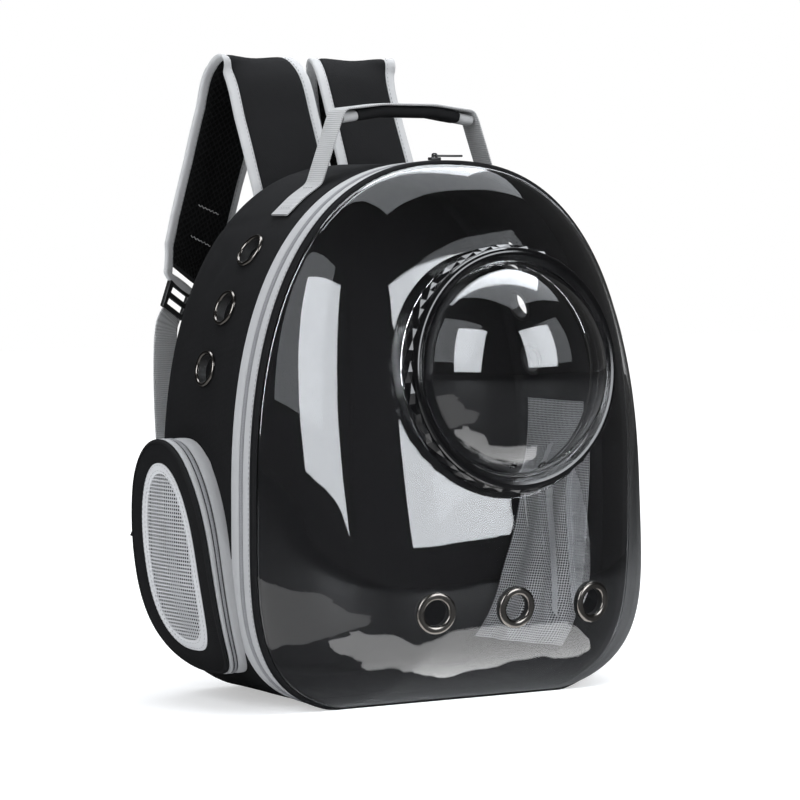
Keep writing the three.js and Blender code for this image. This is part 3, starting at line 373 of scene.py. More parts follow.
def oval(width: float, wall: float, fullness: float, count: int) -> list[tuple[float, float]]:
    """A rounded section.

    Args:
        width: Its width.
        wall: Its thickness.
        fullness: 2 for an ellipse, more for a squarer one.
        count: Points round it, an even number.

    Returns:
        Pairs of across and out.
    """
    points = []
    for i in range(count):
        angle = TAU * (i + 0.5) / count
        cos, sin = math.cos(angle), math.sin(angle)
        radius = (abs(cos) ** fullness + abs(sin) ** fullness) ** (-1 / fullness)
        points.append((radius * cos * width / 2, radius * sin * wall / 2))
    return points


class Spline:
    """A centripetal spline through rows of points."""

    def __init__(self, rows: Sequence[Vector]) -> None:
        """Keeps the rows, with one more beyond each end."""
        self.rows = [rows[0] * 2 - rows[1], *rows, rows[-1] * 2 - rows[-2]]
        self.spans = len(rows) - 1

    def at(self, share: float) -> Vector:
        """The point at a share of the rows."""
        span = min(int(clamp(share) * self.spans), self.spans - 1)
        t = clamp(share) * self.spans - span
        a, b, c, d = self.rows[span:span + 4]
        gaps = [math.sqrt((q - p).length) for p, q in ((a, b), (b, c), (c, d))]
        leave = ((b - a) / gaps[0] - (c - a) / (gaps[0] + gaps[1]) + (c - b) / gaps[1]) * gaps[1]
        arrive = ((c - b) / gaps[1] - (d - b) / (gaps[1] + gaps[2]) + (d - c) / gaps[2]) * gaps[1]
        bend = b * -3 + c * 3 - leave * 2 - arrive
        close = b * 2 - c * 2 + leave + arrive
        return b + leave * t + bend * t ** 2 + close * t ** 3

    def along(self, share: float) -> Vector:
        """The direction of travel at a share of the rows."""
        step = 1e-4
        return (self.at(share + step) - self.at(share - step)).normalized()


# Node groups and finishes


class NodeDesk:
    """Adds nodes to one tree and joins them."""

    def __init__(self, tree: bpy.types.NodeTree) -> None:
        """Keeps the tree."""
        self.tree = tree

    def add(self, kind: str, **settings: object) -> bpy.types.Node:
        """Adds a node of a kind with its settings."""
        node = self.tree.nodes.new(kind)
        for name, value in settings.items():
            setattr(node, name, value)
        return node

    def feed(self, socket: Socket, value: object) -> None:
        """Joins a socket to a value, or sets it."""
        if isinstance(value, bpy.types.NodeSocket):
            self.tree.links.new(value, socket)
        else:
            socket.default_value = value

    def math(self, operation: str, *values: object) -> Socket:
        """One step of arithmetic."""
        node = self.add("ShaderNodeMath", operation=operation)
        for socket, value in zip(node.inputs, values):
            self.feed(socket, value)
        return node.outputs[0]

    def noise(self, vector: Socket, scale: float, detail: float = 3, rough: float = 0.5) -> Socket:
        """A noise between 0 and 1."""
        node = self.add("ShaderNodeTexNoise")
        self.feed(node.inputs["Vector"], vector)
        self.feed(node.inputs["Scale"], scale)
        self.feed(node.inputs["Detail"], detail)
        self.feed(node.inputs["Roughness"], rough)
        return node.outputs["Fac"]

    def blend(self, share: object, first: object, second: object) -> Socket:
        """A colour between two."""
        node = self.add("ShaderNodeMix", data_type="RGBA")
        self.feed(node.inputs[0], share)
        self.feed(node.inputs[6], first)
        self.feed(node.inputs[7], second)
        return node.outputs[2]

    def span(self, value: Socket, low: object, high: object) -> Socket:
        """A value from 0 to 1 set between low and high."""
        node = self.add("ShaderNodeMapRange")
        self.feed(node.inputs["Value"], value)
        self.feed(node.inputs["To Min"], low)
        self.feed(node.inputs["To Max"], high)
        return node.outputs["Result"]

    def bump(self, height: Socket, distance: float, normal: Socket | None = None) -> Socket:
        """A normal that follows a height."""
        node = self.add("ShaderNodeBump")
        node.inputs["Strength"].default_value = 1
        node.inputs["Distance"].default_value = distance
        self.feed(node.inputs["Height"], height)
        if normal is not None:
            self.feed(node.inputs["Normal"], normal)
        return node.outputs["Normal"]

    def group(self, name: str, **values: object) -> bpy.types.Node:
        """Places a shared effect with its own values."""
        node = self.add("ShaderNodeGroup", node_tree=bpy.data.node_groups[name])
        for socket, value in values.items():
            self.feed(node.inputs[socket], value)
        return node


def new_effect(name: str, inputs: Sequence[str],
               outputs: Sequence[str]) -> tuple[NodeDesk, dict[str, Socket], dict[str, Socket]]:
    """Starts a shared effect.

    Args:
        name: The group's name.
        inputs: Its inputs; one named Vector is a vector, the others are numbers.
        outputs: Its outputs, all numbers.

    Returns:
        The desk, the inputs by name and the outputs by name.
    """
    tree = bpy.data.node_groups.new(name, "ShaderNodeTree")
    for socket in inputs:
        kind = "NodeSocketVector" if socket == "Vector" else "NodeSocketFloat"
        tree.interface.new_socket(name=socket, in_out="INPUT", socket_type=kind)
    for socket in outputs:
        tree.interface.new_socket(name=socket, in_out="OUTPUT", socket_type="NodeSocketFloat")
    desk = NodeDesk(tree)
    inlet = desk.add("NodeGroupInput")
    outlet = desk.add("NodeGroupOutput")
    return desk, {s: inlet.outputs[s] for s in inputs}, {s: outlet.inputs[s] for s in outputs}


def scaled_axes(desk: NodeDesk, inputs: dict[str, Socket]) -> tuple[Socket, Socket]:
    """The first two coordinates counted in pitches."""
    axes = desk.add("ShaderNodeSeparateXYZ")
    desk.feed(axes.inputs[0], inputs["Vector"])
    return tuple(desk.math("DIVIDE", axes.outputs[i], inputs["Pitch"]) for i in range(2))


def make_weave_effect() -> None:
    """Over and under threads of a plain weave, with a painted light share that is 1 on the threads and
    leaves painted shade in the hollows.
    """
    desk, inputs, outputs = new_effect("Weave", ("Vector", "Pitch"), ("Height", "Thread"))
    waves = [desk.math("SINE", desk.math("MULTIPLY", axis, math.pi)) for axis in scaled_axes(desk, inputs)]
    product = desk.math("MULTIPLY", *waves)
    desk.feed(outputs["Height"], desk.math("MULTIPLY_ADD", product, 0.5, 0.5))
    desk.feed(outputs["Thread"], desk.math("ABSOLUTE", product))


def make_rib_effect() -> None:
    """Ribs across a webbing or tape, with fine threads along it; the painted light share is 1 on the ribs
    and leaves painted shade between them.
    """
    desk, inputs, outputs = new_effect("Ribs", ("Vector", "Pitch"), ("Height", "Thread"))
    across, along = scaled_axes(desk, inputs)
    ribs = desk.math("ABSOLUTE", desk.math("SINE", desk.math("MULTIPLY", along, math.pi)))
    threads = desk.math("SINE", desk.math("MULTIPLY", across, TAU))
    desk.feed(outputs["Height"], desk.math("MULTIPLY_ADD", threads, 0.2, ribs))
    desk.feed(outputs["Thread"], ribs)


def make_air_mesh_effect() -> None:
    """Diamond cells of a spacer mesh, with a painted light share on the walls that leaves painted shade in
    the cells.
    """
    desk, inputs, outputs = new_effect("Air mesh", ("Vector", "Pitch"), ("Height", "Thread"))
    across, along = scaled_axes(desk, inputs)
    diagonals = [desk.math("ADD", across, along), desk.math("SUBTRACT", across, along)]
    waves = [desk.math("ABSOLUTE", desk.math("SINE", desk.math("MULTIPLY", axis, math.pi / 2)))
             for axis in diagonals]
    cell = desk.math("MULTIPLY", *waves)
    wall = desk.math("SUBTRACT", 1, desk.math("POWER", cell, 0.6))
    desk.feed(outputs["Height"], wall)
    desk.feed(outputs["Thread"], wall)


def make_net_effect() -> None:
    """A mask that is 1 on the threads of a square net."""
    desk, inputs, outputs = new_effect("Net", ("Vector", "Pitch", "Across", "Along"), ("Mask", "Height"))
    lines = []
    for axis, share in zip(scaled_axes(desk, inputs), ("Across", "Along")):
        away = desk.math("PINGPONG", axis, 0.5)
        half = desk.math("MULTIPLY", inputs[share], 0.5)
        lines.append(desk.math("LESS_THAN", away, half))
    desk.feed(outputs["Mask"], desk.math("MAXIMUM", *lines))
    desk.feed(outputs["Height"], desk.math("ADD", *lines))


def make_wear_effect() -> None:
    """Slow change over a surface with fine specks, for colour and gloss."""
    desk, inputs, outputs = new_effect("Wear", ("Vector", "Size"), ("Slow", "Specks"))
    scale = desk.math("DIVIDE", 1, inputs["Size"])
    desk.feed(outputs["Slow"], desk.noise(inputs["Vector"], scale))
    specks = desk.noise(inputs["Vector"], desk.math("MULTIPLY", scale, 14), 2, 0.6)
    desk.feed(outputs["Specks"], specks)


def make_effects() -> None:
    """Makes every shared effect once."""
    for make in (make_weave_effect, make_rib_effect, make_air_mesh_effect,
                 make_net_effect, make_wear_effect):
        make()


def new_material(name: str) -> tuple[Material, NodeDesk, bpy.types.Node, bpy.types.Node]:
    """Starts a material.

    Returns:
        The material, its desk, its Principled node and its output.
    """
    material = bpy.data.materials.new(name)
    material.use_nodes = True
    desk = NodeDesk(material.node_tree)
    shader = material.node_tree.nodes["Principled BSDF"]
    output = material.node_tree.nodes["Material Output"]
    return material, desk, shader, output


@dataclass(frozen=True)
class Cloth:
    """A woven, ribbed or knitted cloth.

    Attributes:
        name: The material's name.
        dark: Its colour in the hollows, darkened there as painted shade.
        light: Its colour on the raised threads, clear of the painted shade.
        pattern: How it is made up.
        pitch: The distance between threads.
        relief: How far the threads stand out.
        rough: Its roughness.
        sheen: The weight of its sheen.
        gloss: The level of its gloss.
        mottle: The size of its slow colour change.
    """

    name: str
    dark: tuple[float, float, float]
    light: tuple[float, float, float]
    pattern: Pattern = Pattern.WEAVE
    pitch: float = 0.9 * MM
    relief: float = 0.12 * MM
    rough: float = 0.85
    sheen: float = 0.01
    gloss: float = 0.06
    mottle: float = 30 * MM

    def build(self) -> Material:
        """Makes the material."""
        material, desk, shader, _ = new_material(self.name)
        places = desk.add("ShaderNodeTexCoord")
        threads = desk.group(self.pattern.value, Vector=places.outputs["UV"], Pitch=self.pitch)
        wear = desk.group("Wear", Vector=places.outputs["Object"], Size=self.mottle)
        # Painted shade in the hollows of the weave, ribs or cells, mixed with a slow random change of tone.
        share = desk.math("MULTIPLY", threads.outputs["Thread"], desk.span(wear.outputs["Slow"], 0.5, 1.1))
        colour = desk.blend(share, (*self.dark, 1), (*self.light, 1))
        desk.feed(shader.inputs["Base Color"], colour)
        low, high = self.rough - 0.08, min(self.rough + 0.08, 1)
        desk.feed(shader.inputs["Roughness"], desk.span(wear.outputs["Specks"], low, high))
        fuzz = desk.bump(wear.outputs["Specks"], self.relief)
        desk.feed(shader.inputs["Normal"], desk.bump(threads.outputs["Height"], self.relief, fuzz))
        shader.inputs["Specular IOR Level"].default_value = self.gloss
        shader.inputs["Sheen Weight"].default_value = self.sheen
        shader.inputs["Sheen Roughness"].default_value = 0.5
        return material


@dataclass(frozen=True)
class Net:
    """An open net whose holes are see-through.

    Attributes:
        name: The material's name.
        colour: The thread's colour.
        pitch: The distance between threads.
        across: The share of a pitch that upright threads fill.
        along: The share of a pitch that level threads fill.
    """

    name: str
    colour: tuple[float, float, float]
    pitch: float
    across: float
    along: float

    def build(self) -> Material:
        """Makes the material."""
        material, desk, shader, _ = new_material(self.name)
        places = desk.add("ShaderNodeTexCoord")
        net = desk.group("Net", Vector=places.outputs["UV"], Pitch=self.pitch,
                         Across=self.across, Along=self.along)
        wear = desk.group("Wear", Vector=places.outputs["Object"], Size=25 * MM)
        darker = tuple(0.75 * part for part in self.colour)
        desk.feed(shader.inputs["Base Color"],
                  desk.blend(wear.outputs["Slow"], (*darker, 1), (*self.colour, 1)))
        desk.feed(shader.inputs["Roughness"], desk.span(wear.outputs["Specks"], 0.6, 0.8))
        desk.feed(shader.inputs["Alpha"], net.outputs["Mask"])
        desk.feed(shader.inputs["Normal"], desk.bump(net.outputs["Height"], 0.15 * MM))
        return material


@dataclass(frozen=True)
class Hard:
    """A moulded plastic or metal.

    Attributes:
        name: The material's name.
        colour: Its colour.
        worn: A second colour that it drifts to at random.
        metal: 1 for metal.
        rough: Its roughness.
        grain: How deep its surface grain is.
    """

    name: str
    colour: tuple[float, float, float]
    worn: tuple[float, float, float]
    metal: float
    rough: float
    grain: float

    def build(self) -> Material:
        """Makes the material."""
        material, desk, shader, _ = new_material(self.name)
        places = desk.add("ShaderNodeTexCoord")
        wear = desk.group("Wear", Vector=places.outputs["Object"], Size=12 * MM)
        desk.feed(shader.inputs["Base Color"],
                  desk.blend(wear.outputs["Slow"], (*self.colour, 1), (*self.worn, 1)))
        desk.feed(shader.inputs["Roughness"],
                  desk.span(wear.outputs["Specks"], self.rough * 0.8, self.rough * 1.25))
        desk.feed(shader.inputs["Normal"], desk.bump(wear.outputs["Specks"], self.grain))
        shader.inputs["Metallic"].default_value = self.metal
        return material


@dataclass(frozen=True)
class Clear:
    """A clear moulded plastic that lets light through to what is behind it.

    Attributes:
        name: The material's name.
        tint: Its colour.
        rough: Its roughness.
        index: Its refractive index.
        wave: How deep its slow waves are.
    """

    name: str
    tint: tuple[float, float, float]
    rough: float
    index: float
    wave: float

    def build(self) -> Material:
        """Makes the material."""
        material, desk, shader, output = new_material(self.name)
        places = desk.add("ShaderNodeTexCoord")
        wear = desk.group("Wear", Vector=places.outputs["Object"], Size=90 * MM)
        darker = tuple(0.98 * part for part in self.tint)
        desk.feed(shader.inputs["Base Color"],
                  desk.blend(wear.outputs["Slow"], (*darker, 1), (*self.tint, 1)))
        desk.feed(shader.inputs["Roughness"],
                  desk.span(wear.outputs["Specks"], self.rough * 0.5, self.rough * 1.5))
        desk.feed(shader.inputs["Normal"], desk.bump(wear.outputs["Slow"], self.wave))
        shader.inputs["Transmission Weight"].default_value = 1
        shader.inputs["IOR"].default_value = self.index
        passing = desk.add("ShaderNodeBsdfTransparent")
        path = desk.add("ShaderNodeLightPath")
        choice = desk.add("ShaderNodeMixShader")
        desk.feed(choice.inputs[0], path.outputs["Is Shadow Ray"])
        desk.feed(choice.inputs[1], shader.outputs["BSDF"])
        desk.feed(choice.inputs[2], passing.outputs["BSDF"])
        desk.feed(output.inputs["Surface"], choice.outputs["Shader"])
        return material


def built(finish: Cloth | Net | Hard | Clear) -> Material:
    """A field that holds the material of a finish."""
    return field(default_factory=finish.build)


@dataclass
class Finishes:
    """Every finish of the pack, built once."""

    fabric: Material = built(Cloth("Black Oxford", (0.006, 0.006, 0.0065), (0.02, 0.02, 0.021), rough=0.8))
    strap: Material = built(Cloth(
        "Strap cloth", (0.008, 0.008, 0.0085), (0.024, 0.024, 0.025), rough=0.78, pitch=0.8 * MM))
    air_mesh: Material = built(Cloth(
        "Black spacer mesh", (0.002, 0.002, 0.002), (0.014, 0.014, 0.014), Pattern.AIR_MESH,
        pitch=3.2 * MM, relief=0.9 * MM))
    lining: Material = built(Cloth(
        "Black lining", (0.007, 0.007, 0.0075), (0.0085, 0.0085, 0.009), pitch=0.45 * MM,
        relief=0.001 * MM))
    tape: Material = built(Cloth("Grey zip tape", (0.48, 0.48, 0.485), (0.63, 0.63, 0.635), pitch=0.7 * MM))
    edge_tape: Material = built(Cloth("Pale edge tape", (0.58, 0.58, 0.58), (0.74, 0.74, 0.74)))
    webbing: Material = built(Cloth(
        "Pale webbing", (0.42, 0.42, 0.42), (0.66, 0.66, 0.66), Pattern.RIBS, pitch=1.7 * MM,
        relief=0.3 * MM))
    window: Material = built(Cloth(
        "White window tape", (0.64, 0.64, 0.65), (0.8, 0.8, 0.8), pitch=0.8 * MM))
    coil: Material = built(Cloth("Grey coil", (0.26, 0.26, 0.27), (0.4, 0.4, 0.41), pitch=1.2 * MM))
    thread: Material = built(Cloth("Grey thread", (0.34, 0.34, 0.35), (0.5, 0.5, 0.5), pitch=0.3 * MM))
    white_net: Material = built(Net("White net", (0.62, 0.62, 0.63), 2.8 * MM, 0.36, 0.46))
    inner_net: Material = built(Net("Grey inner net", (0.42, 0.42, 0.43), 2.1 * MM, 0.26, 0.28))
    ring: Material = built(Hard(
        "Gloss black plastic", (0.004, 0.004, 0.0045), (0.006, 0.006, 0.0065), 0, 0.06, 0.01 * MM))
    buckle: Material = built(Hard(
        "Matt black plastic", (0.008, 0.008, 0.008), (0.016, 0.016, 0.016), 0, 0.42, 0.05 * MM))
    eyelet: Material = built(Hard(
        "Gunmetal", (0.1, 0.094, 0.088), (0.16, 0.148, 0.135), 1, 0.2, 0.02 * MM))
    # The eyelets' barrels and inner washers: the gunmetal drawn near black and dull, as painted shade
    # inside the wall.
    barrel: Material = built(Hard(
        "Dark gunmetal", (0.004, 0.004, 0.004), (0.008, 0.008, 0.008), 0.2, 0.7, 0.03 * MM))
    pull: Material = built(Hard(
        "Black painted metal", (0.012, 0.012, 0.012), (0.03, 0.03, 0.03), 0.5, 0.35, 0.03 * MM))
    clear: Material = built(Clear("Clear plastic", (0.97, 0.975, 0.98), 0.012, 1.46, 0.15 * MM))


def fit(piece: Thing, slot: Slot, finishes: Sequence[Material] | Material,
        *nodes: str, body: str = "backpack") -> Thing:
    """Dresses a piece and ties it to the frame.

    Args:
        piece: The finished mesh.
        slot: The record's slot; not used.
        finishes: Its material, or two for a piece with an underside.
        nodes: The solids that it stands for.
        body: The body that it moves with.

    Returns:
        The piece.
    """
    for finish in [finishes] if isinstance(finishes, Material) else finishes:
        piece.data.materials.append(finish)
    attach(piece, body)
    if nodes:
        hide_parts(*nodes)
    log.info("%s: %d faces", piece.name, len(piece.data.polygons))
    return piece


class Stitching:
    """Small rounded stitches gathered into one piece."""

    def __init__(self, name: str) -> None:
        """Starts with no stitches."""
        self.name = name
        self.shape = bmesh.new()

    def run(self, points: Sequence[Vector], outs: Sequence[Vector], length: float = 2.7 * MM,
            pitch: float = 3.9 * MM, thick: float = 0.45 * MM) -> None:
        """Sews one line.

        Args:
            points: The line.
            outs: The direction away from the cloth at each point.
            length: One stitch's length.
            pitch: The distance from stitch to stitch.
            thick: The thread's thickness.
        """
        runs = running_lengths(points)
        line = bmesh.new()
        row = 0
        for i in range(int(runs[-1] / pitch)):
            middle = (i + 0.5) * pitch
            while runs[row + 1] < middle:
                row += 1
            share = (middle - runs[row]) / (runs[row + 1] - runs[row])
            centre = points[row].lerp(points[row + 1], share)
            place = place_at(centre, outs[row], points[row + 1] - points[row])
            size = Matrix.Diagonal((length / 2, thick / 2, thick / 2, 1))
            bmesh.ops.create_uvsphere(line, u_segments=6, v_segments=4, radius=1, matrix=place @ size)
        mesh = bpy.data.meshes.new("line")
        line.to_mesh(mesh)
        line.free()
        self.shape.from_mesh(mesh)
        bpy.data.meshes.remove(mesh)

    def finish(self, slot: Slot, thread: Material) -> Thing:
        """Makes the piece."""
        return fit(new_piece(self.name, self.shape, sharp=80), slot, thread)


# The arch


@dataclass(frozen=True)
class ArchPlace:
    """A place on the arch outline with its outward direction."""

    x: float
    z: float
    nx: float
    nz: float


@dataclass(frozen=True)
class ArchForm:
    """The arch outline: a superellipse with a fuller base, cut flat at the floor."""

    half_width: float = 175 * MM
    height: float = 420 * MM
    widest: float = 162 * MM
    top_fullness: float = 2.38
    base_fullness: float = 4.0
    base_cut: float = 5 * MM

    def place(self, angle: float, inset: float = 0.0) -> ArchPlace:
        """The place at an angle from the top, drawn in by an inset."""
        sin, cos = math.sin(angle), math.cos(angle)
        reach = self.height - self.widest if cos >= 0 else self.widest + self.base_cut
        fullness = self.top_fullness if cos >= 0 else self.base_fullness
        across, along = abs(sin) / self.half_width, abs(cos) / reach
        radius = (across ** fullness + along ** fullness) ** (-1 / fullness)
        x, z = radius * sin, self.widest + radius * cos
        if z <= 0:
            return ArchPlace(x, max(inset, 0.0), 0.0, -1.0)
        slope = Vector((math.copysign((abs(x) / self.half_width) ** (fullness - 1) / self.half_width, sin),
                        math.copysign((abs(z - self.widest) / reach) ** (fullness - 1) / reach, cos)))
        nx, nz = slope.normalized()
        return ArchPlace(x - nx * inset, max(z - nz * inset, inset, 0.0), nx, nz)

    def half_width_at(self, height: float) -> float:
        """Half the arch's width at a height."""
        above = height >= self.widest
        reach = self.height - self.widest if above else self.widest + self.base_cut
        fullness = self.top_fullness if above else self.base_fullness
        share = min(abs(height - self.widest) / reach, 1)
        return self.half_width * (1 - share ** fullness) ** (1 / fullness)

    def angle_where(self, test: Callable[[ArchPlace], bool]) -> float:
        """The angle, from the top down the right side, at which a test becomes true."""
        low, high = 0.0, math.pi / 2 + 0.6
        for _ in range(40):
            middle = (low + high) / 2
            low, high = (low, middle) if test(self.place(middle)) else (middle, high)
        return low

    def ring(self, y: float, inset: float | Callable[[float], float], count: int = 240) -> Ring:
        """A ring of evenly spaced points round the arch.

        Args:
            y: The ring's depth.
            inset: How far it is drawn in, everywhere or by angle.
            count: Points round it.

        Returns:
            The points.
        """
        ring = []
        for angle in even_angles(self, count):
            spot = self.place(angle, inset(angle) if callable(inset) else inset)
            ring.append(Vector((spot.x, y, spot.z)))
        return ring


@lru_cache
def even_angles(form: ArchForm, count: int) -> tuple[float, ...]:
    """Angles that part an arch into equal lengths."""
    fine = 3000
    spots = [form.place(TAU * i / fine) for i in range(fine + 1)]
    runs = running_lengths([Vector((spot.x, spot.z)) for spot in spots])
    angles, row = [], 0
    for i in range(count):
        wanted = runs[-1] * i / count
        while runs[row + 1] < wanted:
            row += 1
        share = (wanted - runs[row]) / max(runs[row + 1] - runs[row], WELD)
        angles.append(TAU * (row + share) / fine)
    return tuple(angles)


# The fabric body


@dataclass(frozen=True)
class Eyelet:
    """A rolled metal eyelet.

    Attributes:
        bore: The radius of its hole.
        barrel: The radius of its tube through the wall.
        flange: The radius of its face.
        wall: How thick the wall is.
        lift: How far its face stands off the wall.
        roll: How far its face is rounded up.
    """

    bore: float
    barrel: float
    flange: float
    wall: float
    lift: float = 0.7 * MM
    roll: float = 1.9 * MM

    def build(self, name: str, place: Matrix) -> Thing:
        """Spins the rolled face, the barrel and the washer inside."""
        middle, half = (self.bore + self.flange) / 2, (self.flange - self.bore) / 2
        turns = [math.pi * i / 12 for i in range(13)]
        rolled = [(middle - half * math.cos(t), self.lift + self.roll * math.sin(t)) for t in turns]
        inside = -self.wall - 2.4 * MM
        washer = [(middle + half * math.cos(t), inside - 1.4 * MM * math.sin(t)) for t in turns]
        profile = [*rolled, (self.barrel, self.lift), (self.barrel, inside), *washer]
        piece = lathe(name, profile, 56, place)
        back = place.inverted()
        # Faces behind the rolled face take the second finish: painted shade on the barrel and washer.
        for face in piece.data.polygons:
            face.material_index = int((back @ face.center).z < -0.1 * MM)
        return piece

    def hole(self, place: Matrix, reach: float, sides: int) -> Thing:
        """The solid that opens a wall for the barrel."""
        return rod("hole", self.barrel + 0.2 * MM, -reach, reach, sides, place)


@dataclass
class FabricBody:
    """The soft arch between the zip and the back panel."""

    finishes: Finishes
    arch: ArchForm = ArchForm()
    seam_y: float = -74 * MM
    back_y: float = 74 * MM
    front_y: float = -43.85 * MM
    rounding: float = 11 * MM
    wall: float = 3 * MM
    crease_depth: float = 1.3 * MM
    soft_count: float = 11
    fold_counts: tuple[float, float, float] = (26, 9, 26)
    calm_radius: float = 26 * MM
    seam_xs: tuple[float, float] = (-119 * MM, 119 * MM)
    seam_depth: float = 0.7 * MM
    seam_width: float = 1.3 * MM
    pad_front: float = 68 * MM
    pad_rear: float = 80 * MM
    pad_roll: float = 9 * MM
    pad_centre: float = 200 * MM
    channel_x: float = 46 * MM
    channel_zs: tuple[float, float] = (128 * MM, 252 * MM)
    channel_width: float = 4.5 * MM
    channel_depth: float = 4 * MM
    eyelet: Eyelet = Eyelet(11 * MM, 12 * MM, 14.5 * MM, 3 * MM)
    eyelet_rows: tuple[tuple[str, float, float, float], ...] = (
        ("upper", 0.836, 0.49, 0.68), ("middle", 0.731, 0.5, 0.81), ("lower", 0.619, 0.56, 0.81))

    def eyelet_place(self, side: Side, row: tuple[str, float, float, float]) -> Matrix:
        """Where a side eyelet sits."""
        _, height, left, right = row
        angle = side.value * self.arch.angle_where(lambda spot: spot.z < self.arch.height * height)
        spot = self.arch.place(angle)
        behind = (self.back_y - self.seam_y) * (left if side is Side.LEFT else right)
        origin = Vector((spot.x, self.seam_y + behind, spot.z))
        return place_at(origin, Vector((spot.nx, 0, spot.nz)), Vector((0, 1, 0)))

    def rounding_at(self, y: float) -> float:
        """How far the rounded rear edge has drawn in at a depth."""
        past = clamp(y - (self.back_y - self.rounding), 0, self.rounding)
        return self.rounding - math.sqrt(self.rounding ** 2 - past ** 2)

    def calm_places(self) -> list[tuple[Vector, float]]:
        """Where the cloth is held flat: round the eyelets."""
        return [(self.eyelet_place(side, row).to_translation(), self.calm_radius)
                for side in Side for row in self.eyelet_rows]

    def crease(self, place: Vector, calm: Sequence[tuple[Vector, float]]) -> float:
        """How far the cloth is drawn in at a place."""
        soft = noise.noise(place * self.soft_count) * 0.5 + 0.5
        stretched = Vector([length * count for length, count in zip(place, self.fold_counts)])
        sharp_fold = ease(0.84, 1, 1 - abs(noise.noise(stretched)))
        held = min([1.0] + [ease(radius * 0.55, radius, (place - centre).length)
                            for centre, radius in calm])
        edge = ease(self.front_y, self.front_y + 12 * MM, place.y)
        tail = 1 - ease(self.back_y - 16 * MM, self.back_y - 4 * MM, place.y)
        return self.crease_depth * (0.45 * soft + 0.55 * sharp_fold) * held * edge * tail

    def wall_rows(self) -> list[tuple[float, float]]:
        """Pairs of depth and inset round the wall's section."""
        straight = self.back_y - self.rounding
        outer = [(mix(self.front_y, straight, i / 34), 0.0) for i in range(34)]
        turns = [math.radians(90 * i / 6) for i in range(7)]
        bend = [(straight + self.rounding * math.sin(t), self.rounding * (1 - math.cos(t))) for t in turns]
        inner_radius = self.rounding - self.wall
        inner_bend = [(straight + inner_radius * math.sin(t), self.rounding - inner_radius * math.cos(t))
                      for t in reversed(turns)]
        inner = [(mix(straight, self.front_y, i / 20), self.wall) for i in range(1, 21)]
        return outer + bend + inner_bend + inner

    def build_gusset(self, cutters: Sequence[Thing]) -> Thing:
        """The creased cloth wall with its openings."""
        calm = self.calm_places()
        rings = []
        angles = even_angles(self.arch, 260)
        for y, inset in self.wall_rows():
            ring = []
            for angle in angles:
                spot = self.arch.place(angle, inset)
                place = Vector((spot.x, y, spot.z))
                seam = sum(math.exp(-((spot.x - x) / self.seam_width) ** 2) for x in self.seam_xs
                           if spot.z > self.arch.widest)
                drawn = self.crease(place, calm) + self.seam_depth * seam
                place -= Vector((spot.nx, 0, spot.nz)) * drawn
                place.z = max(place.z, 0)
                ring.append(place)
            rings.append(ring)
        gusset = skin("side_gusset_cloth", rings, closed_along=True)
        bores = [self.eyelet.hole(self.eyelet_place(side, row), 9 * MM, 32)
                 for side in Side for row in self.eyelet_rows]
        combine(gusset, [*cutters, *bores], Cut.REMOVE)
        return fit(gusset, Slot.FABRIC, self.finishes.fabric, "side_gusset")

    def build_eyelets(self) -> None:
        """The six rolled eyelets in the sides."""
        for side in Side:
            for row in self.eyelet_rows:
                node = f"side_eyelet_{side.label}_{row[0]}"
                piece = self.eyelet.build(f"{node}_rolled", self.eyelet_place(side, row))
                fit(piece, Slot.EYELET, [self.finishes.eyelet, self.finishes.barrel], node)

    def build_back_panel(self) -> None:
        """The quilted back pad with a flat cloth inside face."""
        inset = self.rounding + 0.3 * MM
        rim = [self.arch.ring(0, inset + d * self.pad_roll, 200) for d in (0, 1)]
        rings = [[self.inside_point(spot, (i + 1) / 30) for spot in rim[0]] for i in range(30)]
        rings.append([Vector((spot.x, self.back_y, spot.z)) for spot in rim[0]])
        for i in range(1, 8):
            turn = math.radians(90 * i / 7)
            rise = Vector((0, mix(self.back_y, self.pad_rear, math.sin(turn)), 0))
            rings.append([a.lerp(b, 1 - math.cos(turn)) + rise for a, b in zip(*rim)])
        rings += [[self.quilted_point(spot, 1 - i / 44) for spot in rim[1]] for i in range(1, 44)]
        pad = skin("back_panel_pad", rings, capped=True)
        for face in pad.data.polygons:
            face.material_index = 1 if face.center.y < self.back_y - 1 * MM else 0
        fit(pad, Slot.AIR_MESH, [self.finishes.air_mesh, self.finishes.lining], "back_panel")

    def inside_point(self, rim: Vector, share: float) -> Vector:
        """A point of the cloth inside face, a little wavy with one upright seam."""
        point = Vector((0, 0, self.pad_centre)).lerp(rim, share)
        seam = math.exp(-(point.x / (1.2 * MM)) ** 2) * 0.5 * MM
        wave = 0.5 * MM * noise.noise(Vector((point.x * 18, 3.1, point.z * 9))) * (1 - share ** 4)
        return Vector((point.x, self.pad_front + seam + max(wave, 0), point.z))

    def quilted_point(self, rim: Vector, share: float) -> Vector:
        """A point of the rear face with its sewn channels."""
        point = Vector((0, 0, self.pad_centre)).lerp(rim, share)
        aways = [abs(abs(point.x) - self.channel_x), *(abs(point.z - z) for z in self.channel_zs)]
        channel = math.exp(-(min(aways) / self.channel_width) ** 2)
        return Vector((point.x, self.pad_rear - self.channel_depth * channel, point.z))


# Zip band


